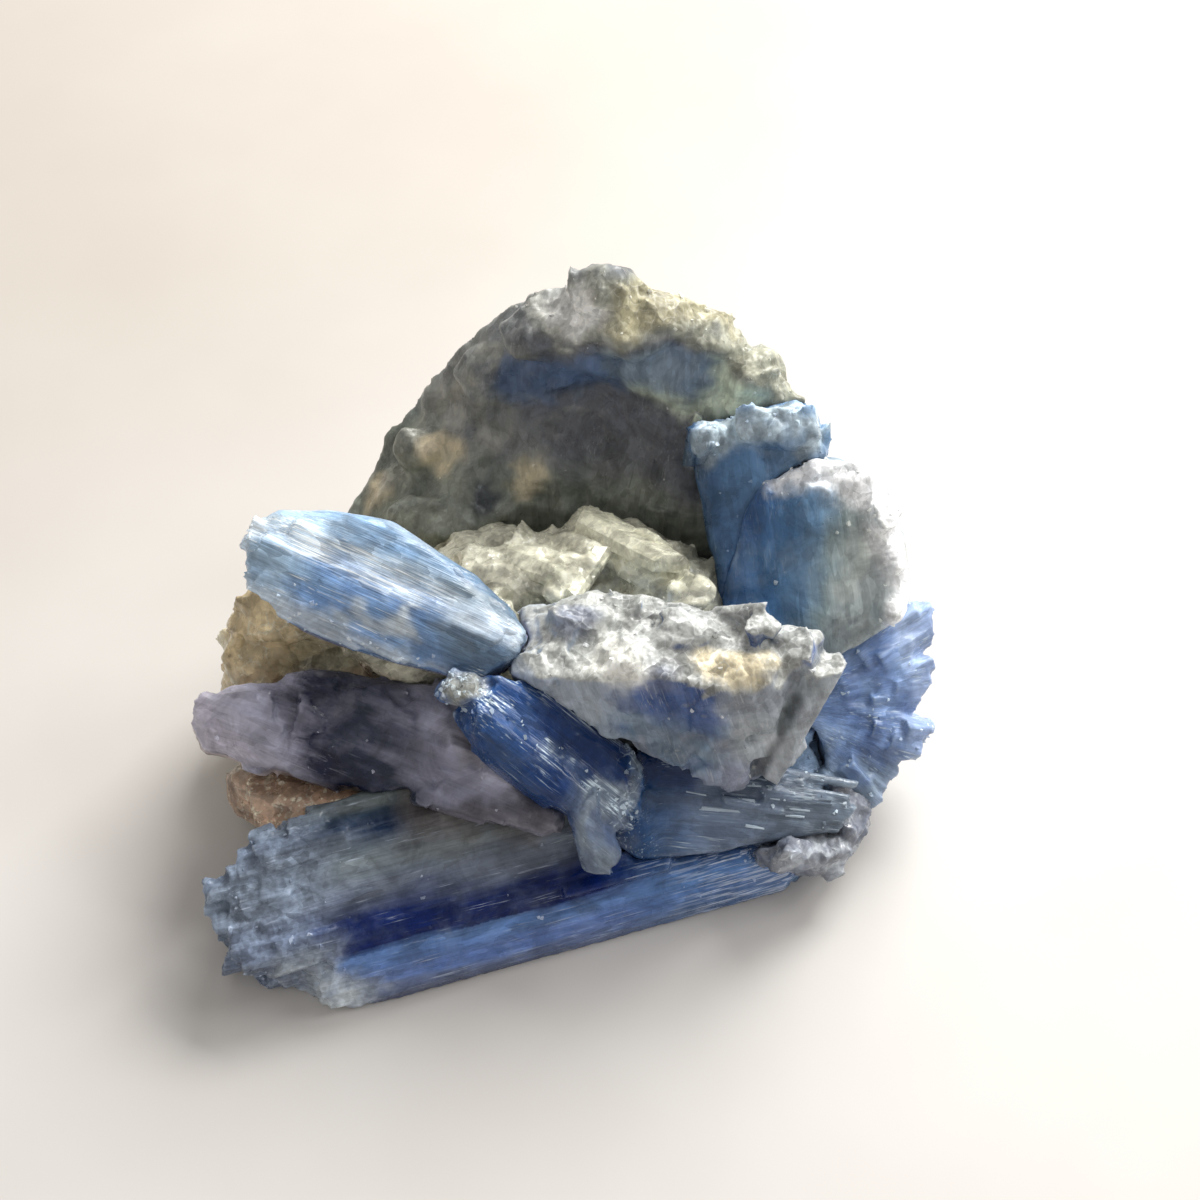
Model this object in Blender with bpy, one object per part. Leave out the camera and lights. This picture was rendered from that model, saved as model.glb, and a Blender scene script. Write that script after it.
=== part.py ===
"""Kyanite blade cluster: flat blades of kyanite grown together around a hollow of quartz.

Every crystal is built from straight laths that run along its length. Sizes below are in
millimetres and are turned to metres as each solid is placed. X runs from left to right,
Y from the front blade to the back mass, Z up from the surface that the cluster rests on.
"""

import math
import random
from collections import namedtuple

import bmesh
import bpy
import numpy as np
from mathutils import Matrix, Vector

MM = 0.001            # metres in one millimetre
GAP = 0.3             # space kept between neighbouring crystals
LAP = 0.25            # how far laths of one crystal run into each other
REST = 0.0            # height of the surface under the cluster
SOLVER = "MANIFOLD"   # EXACT leaves open edges where many thin laths meet
FLAT = math.radians(0.5)  # faces that meet at less than this are one flat face
MOST_SPIKE = 2.5      # how far, in gaps, a sharp corner may move when a cutter is grown

LATH_BEND = 4.0       # longest run over which the end of a lath droops
LATH_BEND_SHARE = 0.3
LATH_EDGE = 0.3       # least height of a drooping end
LATH_WANDER = 0.22    # how unevenly a blade is split into laths
LATH_MARGIN = 0.01    # share of a blade's width left off at its very edges

# A blade's face is a plane: POINT is on it, NORMAL is square to it and RUN is the way its laths
# go. OUTLINE is the face seen from above. PROFILE and KEEL give the height of its upper and
# lower surface over that plane, from the edge on the right of RUN (0) to the other edge (1).
Blade = namedtuple("Blade", "point normal run outline profile keel laths ragged step droop seed")

# A lump is a faceted ellipsoid, made from this many seeded points.
Lump = namedtuple("Lump", "centre radii points seed")

# A prism is a small straight crystal: the two ends of its axis, its width, depth and turn.
Prism = namedtuple("Prism", "start end width depth turn")

FRONT_BLADE = Blade(
    point=(-3.0, -20.0, REST),
    normal=(0.0, 0.0, 1.0),
    run=(0.959, 0.282, 0.0),
    outline=[
        (-21.2, -31.6), (-26.6, -29.8), (-31.6, -28.0), (-34.2, -25.8), (-35.6, -23.0),
        (-34.8, -20.8), (-31.4, -18.8), (-28.0, -16.6), (-21.0, -13.6), (25.0, -0.5),
        (27.0, -7.0), (28.8, -13.6), (27.6, -17.0),
    ],
    profile=[(0.0, 1.2), (0.17, 7.0), (0.34, 8.6), (0.90, 14.0), (1.0, 12.6)],
    keel=[(0.0, 0.0), (1.0, 0.0)],
    laths=9, ragged=0.9, step=0.35, droop=1.2, seed=11,
)

UPPER_LEFT_BLADE = Blade(
    point=(-18.0, 1.0, 29.0),
    normal=(-0.02, -0.42, 0.90),
    run=(27.5, -11.5, -4.6),
    outline=[
        (-31.0, 3.6), (-30.6, 6.4), (-27.7, 8.0), (-22.5, 7.7), (-16.8, 6.6), (-13.0, 4.5),
        (-8.8, 1.8), (-5.8, -0.9), (-3.4, -3.0), (-3.6, -4.8), (-5.6, -6.9), (-10.8, -8.3),
        (-15.6, -6.6), (-20.2, -4.9), (-25.5, -2.9), (-29.7, -0.1), (-30.8, 1.6),
    ],
    profile=[(0.0, -1.8), (0.12, -0.5), (0.45, 0.3), (0.85, -0.4), (1.0, -1.6)],
    keel=[(0.0, -4.4), (0.5, -6.0), (1.0, -4.6)],
    laths=8, ragged=0.25, step=0.18, droop=0.9, seed=23,
)

LOWER_LEFT_BLADE = Blade(
    point=(-22.0, -8.0, 17.0),
    normal=(0.02, -0.32, 0.95),
    run=(36.0, -10.5, -4.2),
    outline=[
        (-37.6, -9.4), (-37.6, -7.4), (-36.4, -5.8), (-34.0, -4.4), (-21.0, -2.6),
        (-10.0, -4.6), (-7.0, -9.5), (-1.2, -13.6), (0.4, -17.2), (-1.6, -18.4), (-6.0, -17.6),
        (-12.9, -15.6), (-21.2, -14.8), (-24.6, -13.1), (-28.3, -11.2), (-32.2, -10.4),
        (-36.4, -10.6),
    ],
    profile=[(0.0, -1.4), (0.2, -0.2), (0.6, 0.2), (1.0, -0.4)],
    keel=[(0.0, -4.8), (0.35, -7.8), (1.0, -6.0)],
    laths=6, ragged=0.3, step=0.35, droop=1.0, seed=37,
)

MIDDLE_BLADE = Blade(
    point=(0.0, -11.5, 20.4),
    normal=(0.45, -0.45, 0.77),
    run=(11.3, -5.2, -9.0),
    outline=[
        (-5.3, -6.8), (-0.1, -8.6), (3.8, -9.8), (7.6, -10.6), (8.8, -13.0), (8.4, -16.2),
        (7.0, -18.2), (3.8, -18.0), (1.0, -17.6), (-1.9, -16.8), (-5.3, -15.3), (-8.0, -13.4),
        (-8.0, -11.2),
    ],
    profile=[(0.0, -1.5), (0.15, -0.2), (0.55, 0.2), (1.0, -0.6)],
    keel=[(0.0, -5.0), (0.5, -7.0), (1.0, -6.0)],
    laths=6, ragged=0.4, step=0.35, droop=0.5, seed=41,
)

MIDDLE_BLADE_BEND = Blade(
    point=(15.0, -13.0, 11.2),
    normal=(0.1, -0.35, 0.93),
    run=(22.0, -1.0, -2.8),
    outline=[
        (1.5, -9.6), (9.9, -8.6), (21.9, -9.4), (27.0, -12.0), (29.4, -13.6), (28.6, -15.8),
        (25.6, -17.4), (19.2, -17.6), (12.8, -18.4), (7.8, -19.2), (4.2, -17.8), (1.0, -13.0),
    ],
    profile=[(0.0, -1.4), (0.2, -0.2), (0.6, 0.1), (1.0, 0.2)],
    keel=[(0.0, -2.8), (0.5, -4.0), (1.0, -4.0)],
    laths=5, ragged=1.0, step=0.4, droop=0.6, seed=43,
)

RIGHT_BLADE = Blade(
    point=(18.0, 10.0, 24.0),
    normal=(-0.25, -0.62, 0.74),
    run=(2.0, -17.0, -13.6),
    outline=[
        (12.4, 18.0), (13.6, 19.2), (16.2, 19.0), (17.8, 19.8), (22.9, 19.6), (25.2, 18.4),
        (26.4, 16.4), (27.6, 11.0), (28.2, 1.9), (24.2, -0.6), (19.6, 0.4), (16.2, 4.6),
        (15.4, 8.4), (13.6, 13.4),
    ],
    profile=[(0.0, -1.6), (0.15, -0.2), (0.5, -0.4), (0.85, 0.1), (1.0, -0.4)],
    keel=[(0.0, -6.0), (0.5, -8.0), (1.0, -6.5)],
    laths=7, ragged=0.4, step=0.3, droop=0.8, seed=53,
)

RIGHT_RIM_BLADE = Blade(
    point=(25.0, 7.7, 25.0),
    normal=(-0.21, -0.66, 0.72),
    run=(2.0, -11.2, -9.6),
    outline=[
        (20.6, 13.2), (24.4, 14.4), (26.8, 13.9), (29.2, 12.9), (31.4, 11.2), (33.1, 8.7),
        (34.2, 6.3), (34.9, 2.3), (32.0, 0.2), (27.2, -1.0), (22.2, -1.2), (17.7, 0.2),
        (16.4, 4.9), (17.2, 8.2), (18.4, 11.2),
    ],
    profile=[(0.0, -0.8), (0.2, 0.5), (0.55, 1.0), (0.85, 0.1), (1.0, -1.8)],
    keel=[(0.0, -5.0), (0.5, -8.0), (1.0, -8.0)],
    laths=7, ragged=0.6, step=0.25, droop=1.0, seed=61,
)

# The fan's laths start near FAN_ROOT and spread to points down the right side.
FAN_ROOT = (20.5, -3.6, 13.2)
FAN_FACE = (0.35, -0.55, 0.76)
FAN_TIPS = [
    (30.3, 4.2, 19.6), (34.6, 4.6, 18.4), (38.3, 4.0, 16.9), (36.4, 1.0, 15.4),
    (38.0, -0.6, 13.8), (36.2, -3.2, 12.2), (37.4, -6.2, 9.9), (34.8, -8.2, 9.4),
    (33.8, -10.0, 8.4), (31.2, -12.2, 7.6), (29.6, -14.6, 6.6), (27.4, -15.6, 6.4),
]
FAN_LATH_WIDTH = 4.4
FAN_LATH_DEPTH = 7.0
FAN_SEED = 71

# The centre block: corners of its top face and of the foot of its front, left to right.
BLOCK_TOP_BACK = [
    (-3.8, 1.2, 23.8), (3.4, 2.2, 26.0), (8.7, 1.0, 26.8), (16.0, -1.6, 27.0), (23.0, -2.6, 26.2),
]
BLOCK_TOP_FRONT = [
    (-4.4, -7.0, 24.0), (3.6, -8.2, 25.8), (9.6, -8.4, 26.6), (15.4, -9.6, 26.0), (21.0, -9.0, 25.0),
]
BLOCK_FOOT = [
    (-3.6, -8.0, 20.0), (4.6, -10.2, 18.6), (10.4, -11.2, 16.0), (15.0, -13.2, 13.6), (19.4, -12.0, 13.0),
]
BLOCK_DEEP = 11.0     # from the back edge of the top down to the bottom
BLOCK_FOOT_DEEP = Vector((0.0, 3.0, -1.0))   # from the foot of the front to the bottom
BLOCK_PLATE = [
    (21.4, -2.4, 27.0), (25.8, -4.4, 25.4), (26.4, -6.6, 23.6), (24.8, -8.8, 18.8),
    (21.2, -12.0, 11.4), (19.0, -11.0, 12.0), (20.2, -8.0, 24.4), (20.0, -4.0, 12.0),
]

# The back mass, as lines that run from its left end to its right end.
BACK_RIDGE = [
    (-25.0, 24.0, 9.6), (-21.2, 28.2, 14.0), (-17.0, 31.4, 19.4), (-13.2, 32.4, 24.8),
    (-9.4, 32.8, 30.4), (-6.2, 33.0, 34.6), (-1.6, 33.0, 36.8), (2.0, 32.2, 39.4),
    (4.6, 31.4, 42.0), (8.4, 31.0, 39.8), (15.4, 30.6, 36.2), (20.8, 27.8, 33.0),
    (25.0, 23.0, 29.8),
]
BACK_LIP = [
    (-25.0, 21.0, 9.0), (-16.4, 25.0, 17.2), (-12.0, 28.2, 23.0), (-5.2, 28.0, 32.0),
    (1.8, 25.8, 36.4), (6.0, 24.0, 37.2), (11.2, 26.2, 36.8), (17.4, 26.6, 33.8),
    (25.0, 20.8, 28.8),
]
BACK_HOLLOW = [
    (-25.0, 19.5, 7.0), (-12.5, 24.0, 19.0), (-5.0, 27.0, 24.5), (4.0, 27.4, 27.4),
    (12.0, 24.6, 28.0), (25.0, 18.0, 25.0),
]
BACK_FOOT = [
    (-25.0, 17.5, 4.0), (-17.0, 13.6, 12.0), (-11.0, 16.0, 15.4), (-5.0, 19.6, 16.0),
    (4.0, 19.8, 15.4), (12.0, 16.6, 16.6), (25.0, 12.0, 19.0),
]
BACK_BASE = [
    (-25.0, 19.5, 3.0), (-19.4, 17.0, REST), (0.0, 19.0, REST), (18.0, 13.0, REST), (25.0, 14.0, 6.0),
]
BACK_HEEL = [
    (-25.0, 22.5, 3.0), (-18.4, 26.5, REST), (0.0, 29.0, REST), (16.0, 27.0, REST), (25.0, 20.5, 6.0),
]
BACK_BULGE = [
    (-25.0, 24.0, 6.5), (-15.6, 30.6, 9.0), (0.0, 32.6, 16.0), (14.0, 31.0, 16.0), (25.0, 23.5, 17.0),
]
BACK_STATIONS = 19
BACK_CHIP = 0.6
BACK_SEED = 83

BACK_LUMPS = [
    Lump((4.2, 30.0, 38.6), (4.0, 3.2, 3.4), 12, 101),
    Lump((-2.4, 28.8, 33.6), (5.0, 3.4, 3.0), 12, 102),
    Lump((7.0, 26.6, 35.6), (5.4, 3.2, 2.8), 12, 103),
    Lump((14.0, 28.2, 34.0), (5.6, 3.2, 2.8), 12, 104),
    Lump((19.6, 26.0, 30.4), (4.4, 3.4, 3.6), 12, 105),
    Lump((-8.6, 29.0, 26.4), (3.8, 3.2, 4.2), 12, 106),
    Lump((-15.2, 26.4, 17.8), (4.4, 3.4, 3.6), 12, 107),
    Lump((-13.0, 19.0, 14.4), (6.4, 4.6, 3.4), 12, 108),
]
BACK_COLUMNS = 8            # laths that stand up the back face
BACK_COLUMN_WIDTH = 5.6
BACK_COLUMN_DEPTH = 2.6
BACK_COLUMN_DROP = (1.0, 7.0)   # how far the columns' tops stay below the ridge

RIGHT_BLADE_LUMPS = [
    Lump((14.8, 18.0, 30.2), (2.2, 1.8, 1.5), 14, 111),
    Lump((20.2, 18.0, 31.6), (3.6, 2.4, 2.0), 14, 112),
    Lump((23.8, 17.4, 32.0), (2.8, 2.6, 2.2), 14, 113),
]

RIM_LUMPS = [
    Lump((29.2, 13.0, 30.0), (2.0, 1.8, 1.5), 14, 121),
    Lump((31.8, 10.4, 28.0), (1.9, 2.4, 1.6), 14, 122),
    Lump((33.0, 6.6, 25.0), (1.8, 2.6, 1.6), 14, 123),
    Lump((33.0, 2.8, 22.0), (1.9, 2.2, 1.5), 14, 124),
]

BLOCK_LUMPS = [
    Lump((6.4, -5.6, 26.2), (3.4, 2.4, 1.6), 14, 131),
    Lump((2.6, -1.0, 25.6), (4.0, 2.8, 1.4), 14, 132),
    Lump((12.2, -3.6, 26.8), (4.2, 2.6, 1.4), 14, 133),
    Lump((17.6, -6.8, 26.2), (3.6, 2.4, 1.6), 14, 134),
    Lump((22.0, -5.0, 26.0), (2.6, 2.4, 1.6), 14, 135),
]

QUARTZ_BASE = [
    (-31.0, -9.0), (-33.0, 3.0), (-28.0, 13.0), (-20.0, 20.0), (17.0, 19.0), (27.0, 9.0),
    (31.0, -5.0), (29.0, -13.0), (20.0, -8.0), (-26.0, -14.0),
]
QUARTZ_BASE_RISE = 5.0
QUARTZ_SHOULDER = [
    (-27.0, -5.0), (-29.0, 4.0), (-22.0, 12.0), (-14.0, 18.0), (14.0, 16.0), (26.0, 4.0),
    (27.0, -8.0), (-18.0, -8.0),
]
QUARTZ_SHOULDER_RISE = 13.0
QUARTZ_LUMPS = [
    Lump((5.0, 10.0, 14.6), (9.0, 8.0, 6.0), 22, 141),
    Lump((-4.0, 8.0, 16.2), (7.0, 6.0, 6.0), 20, 143),
    Lump((13.6, 6.4, 15.4), (4.6, 5.0, 5.0), 16, 144),
    Lump((-8.0, 14.0, 13.0), (8.0, 5.0, 5.0), 16, 145),
    Lump((-16.0, 2.0, 18.0), (9.0, 6.0, 7.0), 14, 146),
    Lump((-31.0, 3.6, 10.0), (6.6, 6.0, 8.0), 22, 147),
    Lump((-27.0, 6.0, 17.0), (7.0, 5.0, 6.0), 18, 148),
    Lump((-33.6, 0.0, 6.0), (4.4, 5.0, 5.6), 14, 149),
    Lump((-29.0, -9.0, 5.4), (6.4, 5.4, 5.6), 22, 150),
    Lump((-23.0, -9.0, 8.0), (6.0, 5.0, 5.0), 18, 151),
    Lump((30.4, -4.0, 5.0), (4.0, 6.0, 5.0), 14, 154),
]

# Quartz grown on the right end of the front blade.
CORNER_LUMPS = [
    Lump((28.4, -12.8, 4.2), (3.4, 3.8, 4.2), 18, 152),
    Lump((26.4, -16.2, 4.8), (3.4, 2.8, 3.6), 16, 153),
    Lump((22.8, -17.0, 6.6), (3.8, 2.4, 2.4), 14, 155),
    Lump((29.6, -9.4, 2.6), (3.2, 3.8, 2.6), 14, 156),
]

# Small straight crystals that stand out of their neighbours.
MIDDLE_PRISMS = [Prism((2.6, -15.8, 14.4), (5.0, -20.6, 11.0), 2.8, 2.0, 0.2)]
BLOCK_PRISMS = [
    Prism((17.2, -3.2, 26.0), (20.8, -4.4, 29.0), 2.2, 1.0, 0.4),
    Prism((22.4, -2.8, 25.0), (25.0, -4.4, 26.6), 2.2, 1.6, 0.2),
]
BACK_PRISMS = [Prism((12.0, 19.8, 26.0), (12.2, 21.6, 31.6), 1.6, 1.2, 0.3)]
QUARTZ_PRISMS = [
    Prism((1.6, 15.8, 18.6), (10.4, 6.4, 21.8), 5.6, 4.4, 0.1),
    Prism((5.6, 15.4, 17.0), (14.0, 7.4, 19.4), 5.0, 4.0, 0.5),
    Prism((-10.4, 9.4, 19.6), (2.4, 6.0, 22.6), 6.4, 3.0, 0.3),
    Prism((-3.4, 12.6, 18.2), (4.4, 9.0, 21.8), 5.0, 3.0, 0.8),
    Prism((-9.0, 3.6, 20.0), (-2.0, -2.6, 23.6), 5.0, 3.0, 0.0),
    Prism((-13.0, 13.0, 15.0), (-6.0, 8.6, 20.4), 4.6, 4.0, 0.6),
    Prism((6.4, 8.0, 17.6), (14.6, 3.0, 23.4), 5.4, 3.6, 0.2),
    Prism((11.4, 12.0, 14.6), (15.0, 7.6, 20.0), 4.4, 3.4, 0.9),
]
JOINT_CHIPS = [Lump((-9.4, -8.2, 24.0), (3.0, 2.2, 1.6), 14, 161)]

LUMP_FACETS = (0.92, 1.08)      # how far a lump's corners stray from its ellipsoid
PRISM_SECTIONS = ((0.0, 1.0), (0.86, 1.0), (1.0, 0.55))   # place along a prism, and size there
FAN_SECTIONS = ((0.0, 0.5, 1.0), (0.7, 1.0, 1.0), (1.0, 0.92, 0.72))   # place, width, depth
FAN_TIP_DROP = 0.7

# Finishes: colour, roughness and how much light passes.
PALE_BLUE = ((0.24, 0.38, 0.52), 0.3, 0.0)
DEEP_BLUE = ((0.05, 0.10, 0.24), 0.2, 0.0)
SUGAR_WHITE = ((0.45, 0.46, 0.48), 0.5, 0.0)
FRONT_BLUE = ((0.10, 0.19, 0.36), 0.3, 0.0)
VIOLET_GREY = ((0.16, 0.16, 0.22), 0.35, 0.0)
SMOOTH_BLUE = ((0.06, 0.12, 0.25), 0.35, 0.0)
RIM_GREY = ((0.30, 0.36, 0.38), 0.5, 0.0)
BRIGHT_BLUE = ((0.18, 0.28, 0.50), 0.4, 0.0)
QUARTZ = ((0.40, 0.38, 0.33), 0.25, 0.3)
BACK_GREY = ((0.25, 0.27, 0.30), 0.5, 0.0)


def clear_scene():
    for thing in list(bpy.data.objects):
        bpy.data.objects.remove(thing, do_unlink=True)


def hull_mesh(points):
    """A bmesh of the convex hull of the points, with flat faces merged."""
    shell = bmesh.new()
    for point in points:
        shell.verts.new(point)
    made = bmesh.ops.convex_hull(shell, input=shell.verts)
    inside = [v for v in made["geom_interior"] if isinstance(v, bmesh.types.BMVert)]
    unused = [v for v in made["geom_unused"] if isinstance(v, bmesh.types.BMVert)]
    bmesh.ops.delete(shell, geom=list(set(inside + unused)), context="VERTS")
    loose = [v for v in shell.verts if not v.link_faces]
    bmesh.ops.delete(shell, geom=loose, context="VERTS")
    bmesh.ops.recalc_face_normals(shell, faces=shell.faces)
    return shell


def grown(points, by):
    """The hull's corners moved out so that each face lies BY further out."""
    shell = hull_mesh(points)
    moved = []
    for vert in shell.verts:
        normals = []
        for face in vert.link_faces:
            if face.normal.length > 0.5 and all(face.normal.dot(n) < 0.999 for n in normals):
                normals.append(face.normal.copy())
        out = Vector(np.linalg.lstsq(np.array(normals), np.full(len(normals), by), rcond=None)[0])
        if out.length > MOST_SPIKE * by:
            out *= MOST_SPIKE * by / out.length
        moved.append(vert.co + out)
    shell.free()
    return moved


def mesh_object(shell, name):
    mesh = bpy.data.meshes.new(name)
    shell.to_mesh(mesh)
    shell.free()
    thing = bpy.data.objects.new(name, mesh)
    bpy.context.scene.collection.objects.link(thing)
    return thing


def along(line, x):
    """The point at X on a line given as (x, y, z) points, left to right."""
    for a, b in zip(line, line[1:]):
        if x <= b[0] or b is line[-1]:
            t = min(max((x - a[0]) / (b[0] - a[0]), 0.0), 1.0)
            return Vector(a).lerp(Vector(b), t)
    return Vector(line[-1])


def height(profile, s):
    for (s0, h0), (s1, h1) in zip(profile, profile[1:]):
        if s <= s1:
            return h0 + (h1 - h0) * (s - s0) / (s1 - s0)
    return profile[-1][1]


def reach_at(outline, v):
    """Where the outline, in (u, v), starts and ends along u at this v."""
    crossings = []
    for (u0, v0), (u1, v1) in zip(outline, outline[1:] + outline[:1]):
        if (v0 - v) * (v1 - v) <= 0 and v0 != v1:
            crossings.append(u0 + (u1 - u0) * (v - v0) / (v1 - v0))
    return min(crossings), max(crossings)


def lath_side(v, a, b, top, foot, droop, rise):
    """One long side of a lath from A to B; its upper ends droop and its lower ends rise."""
    bend = min(LATH_BEND, LATH_BEND_SHARE * (b - a))
    low_top = max(top - droop, foot + LATH_EDGE)
    high_foot = min(foot + rise, top - LATH_EDGE)
    side = [(a, v, low_top), (b, v, low_top), (a, v, high_foot), (b, v, high_foot)]
    if droop:
        side += [(a + bend, v, top), (b - bend, v, top)]
    if rise:
        side += [(a + bend, v, foot), (b - bend, v, foot)]
    return side


def blade_laths(blade):
    """The blade as corner lists of convex laths, in two layers."""
    rand = random.Random(blade.seed)
    point = Vector(blade.point)
    n = Vector(blade.normal).normalized()
    u = Vector(blade.run)
    u = (u - u.dot(n) * n).normalized()
    v = n.cross(u)
    outline = []
    for x, y in blade.outline:
        z = point.z - (n.x * (x - point.x) + n.y * (y - point.y)) / n.z
        away = Vector((x, y, z)) - point
        outline.append((away.dot(u), away.dot(v)))
    low = min(b for _, b in outline)
    span = max(b for _, b in outline) - low
    cuts = [2 * LATH_MARGIN]
    for i in range(1, blade.laths):
        cuts.append((i + rand.uniform(-LATH_WANDER, LATH_WANDER)) / blade.laths)
    cuts.append(1.0 - 2 * LATH_MARGIN)
    solids = []
    for s0, s1 in zip(cuts, cuts[1:]):
        v0 = max(low + span * s0 - LAP / 2, low + LATH_MARGIN * span)
        v1 = min(low + span * s1 + LAP / 2, low + (1.0 - LATH_MARGIN) * span)
        a0, b0 = reach_at(outline, v0)
        a1, b1 = reach_at(outline, v1)
        lift = rand.uniform(-blade.step, blade.step)
        top0 = height(blade.profile, s0) + lift
        top1 = height(blade.profile, s1) + lift
        foot0 = height(blade.keel, s0)
        foot1 = height(blade.keel, s1)
        mid0 = (top0 + foot0) / 2
        mid1 = (top1 + foot1) / 2
        for upper in (False, True):
            nip_a = rand.uniform(0.0, blade.ragged)
            nip_b = rand.uniform(0.0, blade.ragged)
            if upper:
                ends = lath_side(v0, a0 + nip_a, b0 - nip_b, top0, mid0, blade.droop, 0.0)
                ends += lath_side(v1, a1 + nip_a, b1 - nip_b, top1, mid1, blade.droop, 0.0)
            else:
                rise = 0.8 * blade.droop if foot0 < 0 else 0.0
                ends = lath_side(v0, a0 + nip_a, b0 - nip_b, mid0 + LAP, foot0, 0.0, rise)
                ends += lath_side(v1, a1 + nip_a, b1 - nip_b, mid1 + LAP, foot1, 0.0, rise)
            solids.append([point + u * cu + v * cv + n * cw for cu, cv, cw in ends])
    return solids


def fan_laths():
    rand = random.Random(FAN_SEED)
    face = Vector(FAN_FACE).normalized()
    root = Vector(FAN_ROOT)
    solids = []
    for tip in FAN_TIPS:
        tip = Vector(tip)
        run = (tip - root).normalized()
        side = face.cross(run).normalized()
        up = run.cross(side)
        length = (tip - root).length
        wide = FAN_LATH_WIDTH * rand.uniform(0.8, 1.1) / 2
        lift = rand.uniform(-0.5, 0.3)
        corners = []
        for t, w, d in FAN_SECTIONS:
            for sign in (-1, 1):
                slant = 0.0 if t < 1 else sign * rand.uniform(0.3, 1.2)
                at = root + run * (length * t + slant) + side * sign * wide * w
                drop = FAN_TIP_DROP if t == 1.0 else 0.0
                corners += [at + up * (lift - drop), at - up * FAN_LATH_DEPTH * d]
        solids.append(corners)
    return solids


def lump(shape):
    """Corners of a faceted lump: seeded points spread over an ellipsoid."""
    rand = random.Random(shape.seed)
    golden = math.pi * (3.0 - math.sqrt(5.0))
    corners = []
    for i in range(shape.points):
        z = 1.0 - 2.0 * (i + 0.5) / shape.points
        around = golden * i + rand.uniform(-0.5, 0.5)
        ring = math.sqrt(max(0.0, 1.0 - z * z))
        size = rand.uniform(*LUMP_FACETS)
        spot = Vector((ring * math.cos(around), ring * math.sin(around), z)) * size
        corner = Vector(shape.centre) + Vector(a * b for a, b in zip(spot, shape.radii))
        corner.z = max(corner.z, REST)
        corners.append(corner)
    return corners


def prism(shape):
    """Corners of a small six-sided crystal with a chisel end."""
    start = Vector(shape.start)
    run = Vector(shape.end) - start
    length = run.length
    run.normalize()
    side = run.cross(Vector((0, 0, 1))).normalized()
    up = side.cross(run)
    corners = []
    for t, size in PRISM_SECTIONS:
        for i in range(6):
            turn = shape.turn + i * math.pi / 3
            spread = side * math.cos(turn) * shape.width / 2 + up * math.sin(turn) * shape.depth / 2
            corners.append(start + run * length * t + spread * size)
    return corners


def block_chunks():
    """The centre block: upright slabs side by side, and the thin plate on its right."""
    chunks = []
    for i in range(len(BLOCK_FOOT) - 1):
        corners = []
        for j in (i, i + 1):
            back, front, foot = Vector(BLOCK_TOP_BACK[j]), Vector(BLOCK_TOP_FRONT[j]), Vector(BLOCK_FOOT[j])
            shift = Vector((LAP if j > i else -LAP, 0.0, 0.0))
            corners += [back + shift, front + shift, foot + shift]
            corners.append(back - Vector((0.0, 1.0, BLOCK_DEEP)) + shift)
            corners.append(foot + BLOCK_FOOT_DEEP + shift)
        chunks.append(corners)
    chunks.append([Vector(p) for p in BLOCK_PLATE])
    return chunks


def back_shell():
    """The back mass as a closed skin over rings of points, one ring for each station in X."""
    rand = random.Random(BACK_SEED)
    lines = [BACK_HEEL, BACK_BULGE, BACK_RIDGE, BACK_LIP, BACK_HOLLOW, BACK_FOOT, BACK_BASE]
    first, last = BACK_RIDGE[0][0], BACK_RIDGE[-1][0]
    shell = bmesh.new()
    rings = []
    for i in range(BACK_STATIONS):
        x = first + (last - first) * i / (BACK_STATIONS - 1)
        ring = []
        for k, line in enumerate(lines):
            here = along(line, x)
            following = along(lines[(k + 1) % len(lines)], x)
            for spot, on_base in ((here, here.z <= REST + 0.01), (here.lerp(following, 0.5), False)):
                if k == len(lines) - 1 and spot is not here:
                    continue
                chip = Vector(rand.uniform(-BACK_CHIP, BACK_CHIP) for _ in range(3))
                if on_base:
                    chip.z = 0.0
                corner = spot + chip
                corner.z = max(corner.z, REST)
                ring.append(shell.verts.new(corner))
        rings.append(ring)
    count = len(rings[0])
    for a, b in zip(rings, rings[1:]):
        for k in range(count):
            m = (k + 1) % count
            if (k + len(shell.faces)) % 2:
                shell.faces.new((a[k], a[m], b[m]))
                shell.faces.new((a[k], b[m], b[k]))
            else:
                shell.faces.new((a[k], a[m], b[k]))
                shell.faces.new((a[m], b[m], b[k]))
    shell.faces.new(rings[0])
    shell.faces.new(rings[-1])
    bmesh.ops.triangulate(shell, faces=[f for f in shell.faces if len(f.verts) > 3])
    bmesh.ops.recalc_face_normals(shell, faces=shell.faces)
    return shell


def back_columns():
    """Laths of uneven height that stand side by side up the back of the back mass."""
    rand = random.Random(BACK_SEED + 1)
    first, last = BACK_RIDGE[2][0], BACK_RIDGE[-2][0]
    inward = Vector((0.0, -BACK_COLUMN_DEPTH, 0.0))
    columns = []
    for i in range(BACK_COLUMNS):
        x = first + (last - first) * (i + 0.5) / BACK_COLUMNS
        half = BACK_COLUMN_WIDTH * rand.uniform(0.35, 0.55)
        bulge = Vector((0.0, rand.uniform(-0.2, 0.9), 0.0))
        drop = Vector((0.0, rand.uniform(-0.4, 0.4), -rand.uniform(*BACK_COLUMN_DROP)))
        corners = []
        for side in (-half, half):
            foot = along(BACK_HEEL, x + 0.9 * side) + Vector((0.0, 0.4, 0.0))
            waist = along(BACK_BULGE, x + side) + bulge
            crest = along(BACK_RIDGE, x + 0.8 * side) + drop
            for spot in (foot, waist, crest):
                corners += [spot, spot + inward]
        columns.append(corners)
    return columns


def quartz_body():
    base = [Vector((x, y, REST)) for x, y in QUARTZ_BASE]
    waist = [Vector((x * 1.02, y * 1.02, QUARTZ_BASE_RISE)) for x, y in QUARTZ_BASE]
    shoulder = [Vector((x, y, QUARTZ_SHOULDER_RISE)) for x, y in QUARTZ_SHOULDER]
    return base + waist + shoulder


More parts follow.
